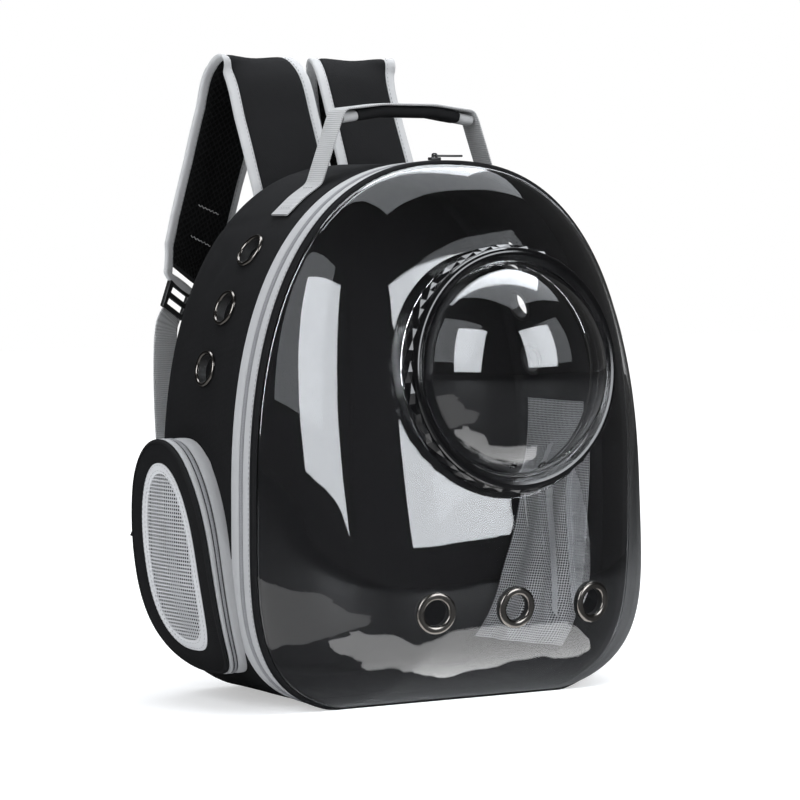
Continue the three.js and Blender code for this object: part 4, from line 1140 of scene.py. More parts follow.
@dataclass
class ZipBand:
    """The two tapes, the ribbed coil and the black front binding round the arch."""

    finishes: Finishes
    arch: ArchForm = ArchForm()
    seam_y: float = -74 * MM
    coil_front: float = -62 * MM
    coil_rear: float = -56 * MM
    rear: float = -44 * MM
    gap: float = 0.15 * MM
    tape_wall: float = 1.5 * MM
    binding_width: float = 7 * MM
    ribs: int = 1500

    def band(self, name: str, profile: Sequence[tuple[float, float]]) -> Thing:
        """A closed band from pairs of depth and inset."""
        return skin(name, [self.arch.ring(y, inset) for y, inset in profile], closed_along=True)

    def tape(self, name: str, front: float, rear: float, height: float) -> Thing:
        """A flat tape whose middle stands a little proud of its sewn edges."""
        top = [(mix(front, rear, share), 0.35 * MM - height * crown(share, 0.6)) for share in shares(9)]
        return self.band(name, [*top, (rear, self.tape_wall), (front, self.tape_wall)])

    def build(self) -> None:
        """Makes the whole band."""
        lining = self.band("zip_lining", [
            (self.seam_y, 1.8 * MM), (self.rear, 1.8 * MM), (self.rear, 2.9 * MM), (self.seam_y, 2.9 * MM)])
        fit(lining, Slot.FABRIC, self.finishes.lining)
        for label, front, rear, height in (("rear", self.coil_rear, self.rear, 0.7 * MM),
                                           ("front", self.seam_y, self.coil_front, 0.6 * MM)):
            tape = self.tape(f"zip_tape_{label}_cloth", front + self.gap, rear - self.gap, height)
            fit(tape, Slot.TAPE, self.finishes.tape, f"zip_tape_{label}")
        self.build_coil()
        self.build_binding()

    def build_coil(self) -> None:
        """The ribbed coil between two dark slits, whose dark is a black cloth band under the coil: painted
        shade in the gaps.
        """
        front, rear = self.coil_front + 0.7 * MM, self.coil_rear - 0.7 * MM
        section = [(mix(front, rear, over), inset, ripple) for over, inset, ripple in coil_section()]
        section += [(rear, 1.7 * MM, 0), (front, 1.7 * MM, 0)]
        rings = [rippled(self.arch.ring(y, inset, self.ribs),
                         self.arch.ring(y, inset + 0.38 * MM * ripple, self.ribs))
                 for y, inset, ripple in section]
        coil = skin("zip_coil_ribbed", rings, closed_along=True, sharp=60)
        fit(coil, Slot.COIL, self.finishes.coil, "zip_coil")
        # A black band under the coil, seen only in the gaps at its edges: painted shade.
        slits = self.band("zip_slits", [
            (self.coil_front, 0.9 * MM), (self.coil_rear, 0.9 * MM),
            (self.coil_rear, 2.2 * MM), (self.coil_front, 2.2 * MM)])
        fit(slits, Slot.FABRIC, self.finishes.fabric)

    def build_binding(self) -> None:
        """The black binding with its two ridges."""
        rear, front = self.seam_y - self.gap, self.seam_y - self.binding_width + self.gap
        profile = []
        for share in shares(15):
            ridge = abs(math.sin(TAU * share)) ** 0.55
            profile.append((mix(rear, front, share), mix(0.5, 1.0, share) * MM - 2.1 * MM * ridge))
        profile += [(front, 4 * MM), (rear, 4 * MM)]
        binding = self.band("front_binding_cloth", profile)
        fit(binding, Slot.FABRIC, self.finishes.strap, "front_binding")
        stitches = Stitching("zip_band_stitches")
        places = [self.arch.place(angle, -0.28 * MM) for angle in even_angles(self.arch, 900)]
        spots = [spot for spot in places if spot.z > 0.4 * MM]
        stitches.run([Vector((spot.x, self.seam_y + 2.2 * MM, spot.z)) for spot in spots],
                     [Vector((spot.nx, 0, spot.nz)) for spot in spots])
        stitches.finish(Slot.TAPE, self.finishes.thread)


# The clear front


@dataclass
class ClearFront:
    """The clear shell, its screw ring, its bubble and its three eyelets."""

    finishes: Finishes
    arch: ArchForm = ArchForm()
    rim_y: float = -81.15 * MM
    depth: float = 110 * MM
    top_reach: float = 0.5
    base_reach: float = 1.09
    lean_power: float = 0.7
    edge_fullness: float = 3.75
    face_fullness: float = 1.24
    inset: float = 1.5 * MM
    wall: float = 2 * MM
    ring_height: float = 262 * MM
    ring_tilt: float = math.radians(4.4)
    ring_radius: float = 94.5 * MM
    ring_depth: float = 19 * MM
    ring_facets: int = 36
    lip: float = 5 * MM
    neck_radius: float = 84 * MM
    neck_wall: float = 2.5 * MM
    boss_radius: float = 92 * MM
    boss_standoff: float = 4 * MM
    bubble_radius: float = 86 * MM
    bubble_rise: float = 58 * MM
    bubble_flange: float = 2.3 * MM
    gap: float = 0.3 * MM
    eyelet: Eyelet = Eyelet(10 * MM, 11.3 * MM, 16 * MM, 2 * MM, 0.2 * MM, 1.8 * MM)
    eyelet_height: float = 82 * MM
    eyelet_spacing: float = 71 * MM

    def depth_at(self, z: float) -> float:
        """How far the shell stands out at a height, in its middle."""
        lean = (max(z, 0) / self.arch.height) ** self.lean_power
        return self.depth * mix(self.base_reach, self.top_reach, lean)

    def front_y(self, x: float, z: float) -> float:
        """The shell's outer face over a point of the front view."""
        rim = self.arch.place(math.atan2(x, z - self.arch.widest), self.inset)
        reach = math.hypot(rim.x, rim.z - self.arch.widest)
        share = min(math.hypot(x, z - self.arch.widest) / reach, 1)
        lift = (1 - share ** self.edge_fullness) ** (1 / self.face_fullness)
        return self.rim_y - self.depth_at(z) * lift

    def face_at(self, x: float, z: float) -> Vector:
        """The point of the outer face over a point of the front view."""
        return Vector((x, self.front_y(x, z), z))

    def shell_ring(self, share: float, wall: float, count: int) -> Ring:
        """A ring of the shell at a share of the way from its centre to its rim."""
        lift = max(1 - share ** self.edge_fullness, 0) ** (1 / self.face_fullness)
        ring = []
        for angle in even_angles(self.arch, count):
            rim = self.arch.place(angle, self.inset + wall)
            z = self.arch.widest + (rim.z - self.arch.widest) * share
            ring.append(Vector((rim.x * share, self.rim_y - (self.depth_at(z) - wall) * lift, z)))
        return ring

    @property
    def place(self) -> Matrix:
        """The ring's own place, with Z out of the bubble."""
        axis = Vector((0, -math.cos(self.ring_tilt), math.sin(self.ring_tilt)))
        origin = Vector((0, self.front_y(0, self.ring_height) - self.boss_standoff, self.ring_height))
        return place_at(origin, axis, Vector((1, 0, 0)))

    @property
    def flange_from(self) -> float:
        """The depth at which the bubble's flange starts."""
        return self.ring_depth - self.lip - self.gap - self.bubble_flange

    @property
    def foot_radius(self) -> float:
        """The radius of the bubble's foot."""
        return math.sqrt(self.bubble_radius ** 2 - (self.bubble_radius - self.bubble_rise) ** 2)

    def eyelet_places(self) -> list[Matrix]:
        """The three places along the foot of the shell."""
        places = []
        step = 9 * MM
        z = self.eyelet_height
        for x in (-self.eyelet_spacing, 0.0, self.eyelet_spacing):
            wide = self.face_at(x + step, z) - self.face_at(x - step, z)
            high = self.face_at(x, z + step) - self.face_at(x, z - step)
            places.append(place_at(self.face_at(x, z), wide.cross(high), Vector((1, 0, 0))))
        return places

    def build_shell(self) -> None:
        """The domed shell with its boss and neck, hollow, with the eyelets' holes."""
        count, rows = 200, 40
        steps = [1 - (i / rows) ** 1.7 for i in range(rows + 1)]
        outer = [self.shell_ring(share, 0, count) for share in steps]
        shell = skin("clear_shell_outer", outer, capped=True, sharp=30)
        rim = self.arch.ring(self.rim_y + 1 * MM, self.inset + self.wall, count)
        inner = [self.shell_ring(share, self.wall, count) for share in steps[1:]]
        hollow = skin("hollow", [rim, *inner], capped=True)
        place, seat = self.place, self.boss_radius + 6 * MM
        half = self.depth_at(self.ring_height) / 2
        bore = self.neck_radius - self.neck_wall
        sides = 120
        trim = rod("trim", seat, 0, self.depth, sides, place)
        boss = rod("boss", self.boss_radius, -half, 0, sides, place)
        neck = rod("neck", self.neck_radius, -self.wall, self.flange_from - self.gap, sides, place)
        inner_trim = rod("trim", seat, -self.wall, self.depth, sides, place)
        combine(hollow, [inner_trim], Cut.REMOVE)
        combine(shell, [trim], Cut.REMOVE)
        combine(shell, [boss, neck], Cut.JOIN)
        cuts = [self.eyelet.hole(spot, 8 * MM, 40) for spot in self.eyelet_places()]
        cuts += [rod("cut", self.boss_radius - self.wall, -2 * half, -self.wall, sides, place),
                 rod("cut", bore, -2 * half, self.ring_depth, sides, place), hollow]
        combine(shell, cuts, Cut.REMOVE, sharp=30)
        fit(shell, Slot.CLEAR, self.finishes.clear, "clear_shell")
        for spot, label in zip(self.eyelet_places(), ("left", "middle", "right")):
            piece = self.eyelet.build(f"front_eyelet_{label}_rolled", spot)
            fit(piece, Slot.EYELET, [self.finishes.eyelet, self.finishes.barrel], f"front_eyelet_{label}")

    def facet_rows(self) -> list[tuple[float, float, float]]:
        """Depth, radius over a diamond and radius between two diamonds, row by row."""
        flat = self.ring_radius * math.cos(math.pi / self.ring_facets)
        low, valley = self.ring_radius - 2.7 * MM, self.ring_radius - 2.5 * MM
        rows = [(0.03, low, low), (0.15, flat, valley), (0.42, flat, self.ring_radius),
                (0.69, flat, valley), (0.83, low, low)]
        return [(share * self.ring_depth, over, between) for share, over, between in rows]

    def build_ring(self) -> None:
        """The screw ring: flat diamonds cut off by a polished lip."""
        rings = []
        rows = self.facet_rows()
        low = rows[0][1]
        for depth, over, between in [(-2 * MM, low, low), *rows, (self.ring_depth + 1 * MM, low, low)]:
            ring = []
            for k in range(2 * self.ring_facets):
                radius, turn = between if k % 2 else over, math.pi * k / self.ring_facets
                ring.append(self.place @ Vector((radius * math.cos(turn), radius * math.sin(turn), depth)))
            rings.append(ring)
        drum = skin("bubble_ring_faceted", rings, capped=True, sharp=3)
        shape = bmesh.new()
        shape.from_mesh(drum.data)
        bmesh.ops.triangulate(shape, faces=shape.faces, quad_method="SHORT_EDGE")
        bmesh.ops.recalc_face_normals(shape, faces=shape.faces)
        shape.to_mesh(drum.data)
        shape.free()
        lip_depth = self.ring_depth - self.lip
        bore, lip_radius = self.neck_radius + 2 * self.gap, self.foot_radius + 2 * self.gap
        edge, top = self.ring_radius, self.ring_depth
        profile = [
            (edge - 3.6 * MM, self.gap), (edge + 3 * MM, self.gap + 0.6 * MM),
            (edge + 3 * MM, top - 3 * MM), (edge - 3.2 * MM, top - 2.9 * MM),
            (edge - 3.1 * MM, top - 2.1 * MM), (edge - 3.9 * MM, top - 0.8 * MM),
            (edge - 5.4 * MM, top - 0.1 * MM), (edge - 6.6 * MM, top), (edge - 8.6 * MM, top - 0.2 * MM),
            (lip_radius + 1 * MM, top - 3 * MM), (lip_radius, top - 3.6 * MM),
            (lip_radius, lip_depth), (bore, lip_depth), (bore, self.gap)]
        trim = lathe("trim", profile, 180, self.place)
        combine(drum, [trim], Cut.OVERLAP, sharp=3.2)
        fit(drum, Slot.RING, self.finishes.ring, "bubble_ring")

    def build_bubble(self) -> None:
        """The clear bubble with its three vents low on its side."""
        centre = self.flange_from + self.bubble_flange + self.bubble_rise - self.bubble_radius
        foot = math.asin(self.foot_radius / self.bubble_radius)
        steps = 30

        def arc(radius: float, start: float, end: float) -> list[tuple[float, float]]:
            """Part of the dome's section."""
            turns = [mix(start, end, i / steps) * foot for i in range(steps + 1)]
            return [(radius * math.sin(t), centre + radius * math.cos(t)) for t in turns]

        flange = self.neck_radius - self.gap
        inner = arc(self.bubble_radius - self.wall, 1, 0)
        inner[0] = (self.foot_radius - self.wall, self.flange_from)
        profile = [*arc(self.bubble_radius, 0, 1), (flange, self.flange_from + self.bubble_flange),
                   (flange, self.flange_from), *inner]
        profile[0] = (0, profile[0][1])
        profile[-1] = (0, profile[-1][1])
        bubble = lathe("bubble_dome_clear", profile, 128, self.place, closed=False, sharp=30)
        drills = []
        for i in range(3):
            turn = math.radians((i - 1) * 20 + 9 - 90)
            out = Vector((math.cos(turn), math.sin(turn), 0))
            local = place_at(Vector((0, 0, self.ring_depth + 9 * MM)), out, Vector((0, 0, 1)))
            drills.append(rod("drill", 3 * MM, self.bubble_radius / 2, self.bubble_radius + 2 * MM, 24,
                              self.place @ local))
        combine(bubble, drills, Cut.REMOVE, sharp=30)
        fit(bubble, Slot.CLEAR, self.finishes.clear, "bubble_dome")


# Pockets and inner nets


@dataclass
class SidePocket:
    """One net pocket on the side of the body."""

    finishes: Finishes
    body: FabricBody
    side: Side
    height: float = 180 * MM
    width: float = 111 * MM
    centre_z: float = 115 * MM
    centre_y: float = 11.5 * MM
    lean: float = 0.18
    top_fullness: float = 2.15
    base_fullness: float = 2.75
    reach_front: float = 24 * MM
    reach_rear: float = 27 * MM
    reach_drop: float = 8 * MM
    wall: float = 2 * MM
    piping: float = 3 * MM
    coil_share: tuple[float, float] = (0.42, 0.64)
    border: float = 19 * MM
    binding_width: float = 7 * MM
    gap: float = 0.3 * MM
    count: int = 132
    ribs: int = 620

    def name(self, part: str) -> str:
        """A piece's name on this side."""
        return f"pocket_{self.side.label}_{part}"

    def outline(self, angle: float, border: float = 0.0) -> tuple[float, float]:
        """Y and Z of the outline at an angle from its top."""
        sin, cos = math.sin(angle), math.cos(angle)
        fullness = self.top_fullness if cos >= 0 else self.base_fullness
        across, up = self.width / 2 - border, self.height / 2 - border
        radius = ((abs(sin) / across) ** fullness + (abs(cos) / up) ** fullness) ** (-1 / fullness)
        rise = radius * cos
        return self.centre_y + self.lean * rise + radius * sin, self.centre_z + rise

    def face_x(self, y: float, z: float) -> float:
        """How far out the pocket's face stands."""
        rear = clamp((y - self.centre_y) / self.width + 0.5)
        low = clamp(0.5 - (z - self.centre_z) / self.height)
        reach = mix(self.reach_front, self.reach_rear, rear)
        return self.body.arch.half_width_at(z) + reach - self.reach_drop * low * (1 - rear)

    def wall_x(self, y: float, z: float) -> float:
        """Where the body's side is."""
        return self.body.arch.half_width_at(z) - self.body.rounding_at(y) + self.gap

    def ring(self, share: float, border: float, lift: float = 0.0, count: int | None = None) -> Ring:
        """A ring of the outline, a share of the way from the body to the face."""
        ring = []
        count = count or self.count
        for i in range(count):
            angle = TAU * i / count
            y, z = self.outline(angle, border)
            edge_y, edge_z = self.outline(angle)
            face = self.face_x(edge_y, edge_z) if share < 1 else self.face_x(y, z)
            x = mix(self.wall_x(edge_y, edge_z), face, share) + lift
            ring.append(Vector((self.side.value * x, y, z)))
        return ring

    def window_cutter(self) -> Thing:
        """A solid that opens the body's side behind the net."""
        outline = [self.outline(TAU * i / 72, self.border) for i in range(72)]
        rings = [[Vector((self.side.value * x, y, z)) for y, z in outline] for x in (88 * MM, 262 * MM)]
        return skin("window", rings, capped=True)

    def band(self, name: str, low: float, high: float, height: float) -> Thing:
        """A tape round the pocket between two shares of its depth."""
        rings = [self.ring(mix(low, high, share), 0.3 * MM - height * crown(share, 0.6),
                           mix(self.gap, -self.gap, share) / 2) for share in shares(9)]
        rings += [self.ring(high, self.wall, -self.gap / 2), self.ring(low, self.wall, self.gap / 2)]
        return skin(name, rings, closed_along=True)

    def build(self) -> None:
        """Makes the whole pocket."""
        face = 1 - self.piping / self.reach_front
        low, high = self.coil_share
        for part, start, end, height in (("tape_inner", -0.12, low, 0.8 * MM),
                                         ("tape_outer", high, face, 0.9 * MM)):
            tape = self.band(self.name(f"{part}_cloth"), start, end, height)
            fit(tape, Slot.TAPE, self.finishes.tape, self.name(part))
        self.build_coil(low, high)
        self.build_piping(face)
        self.build_panel()
        self.build_window()
        self.build_net()

    def build_coil(self, low: float, high: float) -> None:
        """The ribbed coil with a dark slit at each edge, whose dark is a black cloth band under the coil:
        painted shade in the gaps.
        """
        inset, outset = low + 0.04, high - 0.04
        rings = []
        for over, lift, ripple in coil_section():
            share = mix(inset, outset, over)
            rings.append(rippled(self.ring(share, lift, 0, self.ribs),
                                 self.ring(share, lift + 0.35 * MM * ripple, 0, self.ribs)))
        rings += [self.ring(share, 1.7 * MM, 0, self.ribs) for share in (outset, inset)]
        coil = skin(self.name("zip_coil_ribbed"), rings, closed_along=True, sharp=60)
        fit(coil, Slot.COIL, self.finishes.coil, self.name("zip_coil"))
        # A black band under the coil, seen only in the gaps at its edges: painted shade.
        slit = [self.ring(share, border) for share, border in (
            (low, 0.8 * MM), (high, 0.8 * MM), (high, 2.1 * MM), (low, 2.1 * MM))]
        fit(skin(self.name("zip_slits"), slit, closed_along=True), Slot.FABRIC, self.finishes.fabric)

    def build_piping(self, face: float) -> None:
        """The thick round piping at the pocket's outer edge."""
        rings = []
        for i in range(12):
            turn = math.radians(210) * i / 11
            border = 0.7 * MM - 1.6 * MM * math.sin(turn) if turn < math.pi else 1.4 * MM
            over = (1 - math.cos(min(turn, math.pi))) / 2
            lift = mix(self.gap, self.piping + 0.9 * MM, over)
            rings.append(self.ring(face, border + 1.3 * MM * over, lift))
        rings += [self.ring(1, 3.2 * MM, -0.6 * MM), self.ring(face, 3 * MM, self.gap)]
        piping = skin(self.name("piping_round"), rings, closed_along=True)
        fit(piping, Slot.FABRIC, self.finishes.strap, self.name("piping"))

    def build_panel(self) -> None:
        """The black panel round the window, softly filled between its seams."""
        outer, inner = self.wall + self.gap, self.border - self.gap
        rings = [self.ring(1, mix(outer, inner, share), 0.9 * MM * crown(share, 0.8) - 0.35 * MM)
                 for share in shares(13)]
        rings += [self.ring(1, inner, -self.wall), self.ring(1, outer, -self.wall)]
        panel = skin(self.name("panel_cloth"), rings, closed_along=True)
        fit(panel, Slot.FABRIC, self.finishes.fabric, self.name("panel"))

    def build_window(self) -> None:
        """The white window tape with its two rows of stitches."""
        outer, inner = self.border - 1 * MM, self.border + self.binding_width
        rings = [self.ring(1, mix(outer, inner, share), 0.25 * MM + 0.75 * MM * crown(share, 0.5))
                 for share in shares(11)]
        rings += [self.ring(1, inner, -0.6 * MM), self.ring(1, outer, -0.2 * MM)]
        tape = skin(self.name("window_tape"), rings, closed_along=True)
        fit(tape, Slot.WINDOW, self.finishes.window, self.name("window_binding"))
        stitches = Stitching(self.name("window_stitches"))
        out = Vector((self.side.value, 0, 0))
        for share in (0.22, 0.72):
            line = self.ring(1, mix(outer, inner, share), 1.08 * MM, 240)
            stitches.run(line + line[:1], [out] * 241, thick=0.4 * MM)
        stitches.finish(Slot.WINDOW, self.finishes.tape)

    def net_lift(self, y: float, z: float) -> float:
        """How far the slack net stands out at a place, with ripples and one oblique fold."""
        ripple = 0.5 * MM * noise.noise(Vector((y * 16, z * 60, 1.7 * self.side.value)))
        along = (z - 72 * MM) * 0.8 + (y - 28 * MM) * 0.6
        away = (y - 28 * MM) * 0.8 - (z - 72 * MM) * 0.45
        fold = 2.4 * MM * math.exp(-(away / (4 * MM)) ** 2) * math.exp(-(along / (26 * MM)) ** 2)
        return ripple + fold

    def build_net(self) -> None:
        """The slack white net in the window."""
        border = self.border + self.binding_width - 1.2 * MM
        columns, rows = 64, 90
        edge = [Vector(self.outline(TAU * i / 180, border)) for i in range(180)]
        z_low, z_high = min(p.y for p in edge), max(p.y for p in edge)
        rings = []
        for row in range(rows + 1):
            z = mix(z_low + 0.2 * MM, z_high - 0.2 * MM, row / rows)
            crossings = []
            for a, b in zip(edge, edge[1:] + edge[:1]):
                if (a.y - z) * (b.y - z) <= 0 and a.y != b.y:
                    crossings.append(mix(a.x, b.x, (z - a.y) / (b.y - a.y)))
            low, high = min(crossings), max(crossings)
            ring = []
            for column in range(columns + 1):
                y = mix(low, high, column / columns)
                inside = math.sin(math.pi * column / columns) * math.sin(math.pi * clamp(row / rows))
                crown = 1.6 * MM * inside ** 0.5 + self.net_lift(y, z) * inside ** 0.3
                ring.append(Vector((self.side.value * (self.face_x(y, z) - 0.3 * MM + crown), y, z)))
            rings.append(ring)
        net = skin(self.name("net_cloth"), rings, closed_round=False, sharp=80)
        self.flat_uv(net)
        thicken(net, 0.35 * MM)
        fit(net, Slot.WHITE_NET, self.finishes.white_net, self.name("net"))
        self.name("window_tape")

    @staticmethod
    def flat_uv(net: Thing) -> None:
        """Lets a net's threads run level and upright."""
        layer = net.data.uv_layers["UVMap"].data
        for loop in net.data.loops:
            place = net.data.vertices[loop.vertex_index].co
            layer[loop.index].uv = (place.y, place.z)


@dataclass
class InnerNet:
    """A net that hangs inside the body over a pocket opening and sags at its foot."""

    finishes: Finishes
    body: FabricBody
    side: Side
    top: float = 225 * MM
    bottom: float = 26 * MM
    front: float = -29 * MM
    rear: float = 58 * MM
    sag: float = 32 * MM
    drops: tuple[tuple[float, float], ...] = ((0, 0), (0.25, 0.1), (0.5, 0.4), (0.75, 0.8), (1, 1))
    spreads: tuple[tuple[float, float], ...] = ((0, 0.12), (0.3, 0.5), (0.6, 0.85), (1, 1))

    @staticmethod
    def between(rows: Sequence[tuple[float, float]], share: float) -> float:
        """The value of a table of pairs at a share."""
        for (low, first), (high, second) in zip(rows, rows[1:]):
            if share <= high:
                straight = (share - low) / (high - low)
                return mix(first, second, mix(straight, ease(low, high, share), 0.35))
        return rows[-1][1]

    def build(self) -> None:
        """Makes the net with its upright folds."""
        columns, rows = 60, 90
        rings = []
        for row in range(rows + 1):
            drop = row / rows
            z = mix(self.top, self.bottom, drop)
            ring = []
            for column in range(columns + 1):
                spread = column / columns
                y = mix(self.front, self.rear, spread)
                sag = self.sag * self.between(self.drops, drop) * self.between(self.spreads, spread)
                fold = 1.6 * MM * math.sin(spread * 19 + 2.2 * drop) * ease(0.05, 0.5, drop)
                fold += 1.2 * MM * noise.noise(Vector((y * 30, z * 12, 0.4))) * ease(0.02, 0.3, drop)
                inner = self.body.arch.half_width_at(z) - self.body.wall - self.body.crease_depth
                x = min(inner - sag - 1.2 * MM - fold, inner - 0.8 * MM)
                ring.append(Vector((self.side.value * x, y, z)))
            rings.append(ring)
        net = skin(f"inner_net_{self.side.label}_cloth", rings, closed_round=False, sharp=80)
        thicken(net, 0.3 * MM)
        fit(net, Slot.INNER_NET, self.finishes.inner_net, f"inner_net_{self.side.label}")


# Handle and straps


def rounded_path(points: Sequence[Vector], radius: float) -> list[Vector]:
    """Rounds the corners of a line.

    Args:
        points: Its corners.
        radius: How far from each corner the rounding starts, at most.

    Returns:
        The denser line.
    """
    line = [points[0]]
    for before, corner, after in zip(points, points[1:], points[2:]):
        start = corner + (before - corner) * min(radius / (before - corner).length, 0.45)
        end = corner + (after - corner) * min(radius / (after - corner).length, 0.45)
        line.append((line[-1] + start) / 2)
        for i in range(7):
            share = i / 6
            line.append(start.lerp(corner, share).lerp(corner.lerp(end, share), share))
    return [*line, points[-1]]


def flat_stations(points: Sequence[Vector], across: Vector) -> list[Station]:
    """Stations along a line whose width points one way."""
    stations = []
    for i, centre in enumerate(points):
        along = (points[min(i + 1, len(points) - 1)] - points[max(i - 1, 0)]).normalized()
        stations.append(Station(centre, across, across.cross(along).normalized()))
    return stations


@dataclass
class CarryHandle:
    """The webbing handle with its soft grip."""

    finishes: Finishes
    arch: ArchForm = ArchForm()
    y: float = -11 * MM
    tail: float = 112 * MM
    fold: float = 81 * MM
    span: float = 63 * MM
    top: float = 466 * MM
    crown: float = 6 * MM
    grip_length: float = 94 * MM
    grip_width: float = 24 * MM
    grip_height: float = 9 * MM
    webbing_width: float = 25 * MM
    webbing_wall: float = 1.8 * MM
    wrap_length: float = 13 * MM
    gap: float = 0.3 * MM

    def path(self) -> list[Vector]:
        """The webbing's line from one tail to the other."""
        lift = self.webbing_wall / 2 + 2 * self.gap
        half = []
        for width in (self.tail, (self.tail + self.fold) / 2, self.fold):
            spot = self.arch.place(-self.arch.angle_where(lambda p, w=width: p.x > w), -lift)
            half.append((spot.x, spot.z))
        half.append((-self.span, self.top - self.crown - self.grip_height / 2))
        half.append((-self.span + 2 * self.webbing_wall, self.top - self.crown + self.webbing_wall))
        half.append((-self.grip_length / 4, self.top))
        whole = half + [(-x, z) for x, z in reversed(half)]
        return [Vector((x, self.y, z)) for x, z in whole]

    def grip_line(self, low: float, high: float, count: int) -> list[Vector]:
        """The line of the grip's middle."""
        drop = self.webbing_wall / 2 + self.gap + self.grip_height / 2
        quarter = self.grip_length / 4
        line = []
        for i in range(count):
            x = mix(low, high, i / (count - 1))
            outer = max(abs(x) - quarter, 0) / (self.span - quarter)
            line.append(Vector((x, self.y, self.top - drop - self.crown * outer)))
        return line

    def build(self) -> None:
        """Makes webbing, grip and wraps."""
        across = Vector((0, 1, 0))
        line = rounded_path(self.path(), 4 * MM)
        webbing = strip("handle_webbing_ribbed", flat_stations(line, across),
                        oval(self.webbing_width, self.webbing_wall, 9, 20))
        fit(webbing, Slot.WEBBING, self.finishes.webbing, "handle_webbing")
        half = self.grip_length / 2
        stations = []
        for i, station in enumerate(flat_stations(self.grip_line(-half, half, 41), across)):
            share = abs(i / 20 - 1)
            size = 1 - 0.16 * ease(0.8, 1, share)
            stations.append(Station(station.centre, station.across, station.out, size))
        grip = strip("handle_grip_soft", stations, oval(self.grip_width, self.grip_height, 3.2, 28))
        fit(grip, Slot.FABRIC, self.finishes.strap, "handle_grip")
        stitches = Stitching("handle_stitches")
        for side in Side:
            low = half + self.gap
            ends = self.grip_line(side.value * low, side.value * (low + self.wrap_length), 9)
            wrap = strip(f"handle_wrap_{side.label}_cloth", flat_stations(ends, across),
                         oval(19 * MM, 8.5 * MM, 2.6, 28))
            fit(wrap, Slot.EDGE_TAPE, self.finishes.edge_tape, f"handle_wrap_{side.label}")
            self.tack_tail(stitches, side)
        stitches.finish(Slot.WEBBING, self.finishes.thread)

    def tack_tail(self, stitches: Stitching, side: Side) -> None:
        """Sews two short rows across a tail, one near each end."""
        corners = []
        for width in (self.tail - 5 * MM, self.fold + 6 * MM):
            angle = side.value * self.arch.angle_where(lambda p, w=width: p.x > w)
            spot = self.arch.place(angle, -2.5 * MM)
            out = Vector((spot.nx, 0, spot.nz))
            for y in (self.y - 9 * MM, self.y + 9 * MM):
                corners.append((Vector((spot.x, y, spot.z)), out))
        for i, j in ((0, 1), (2, 3)):
            (a, out), (b, _) = corners[i], corners[j]
            line = [a.lerp(b, k / 8) for k in range(9)]
            stitches.run(line, [out] * 9)


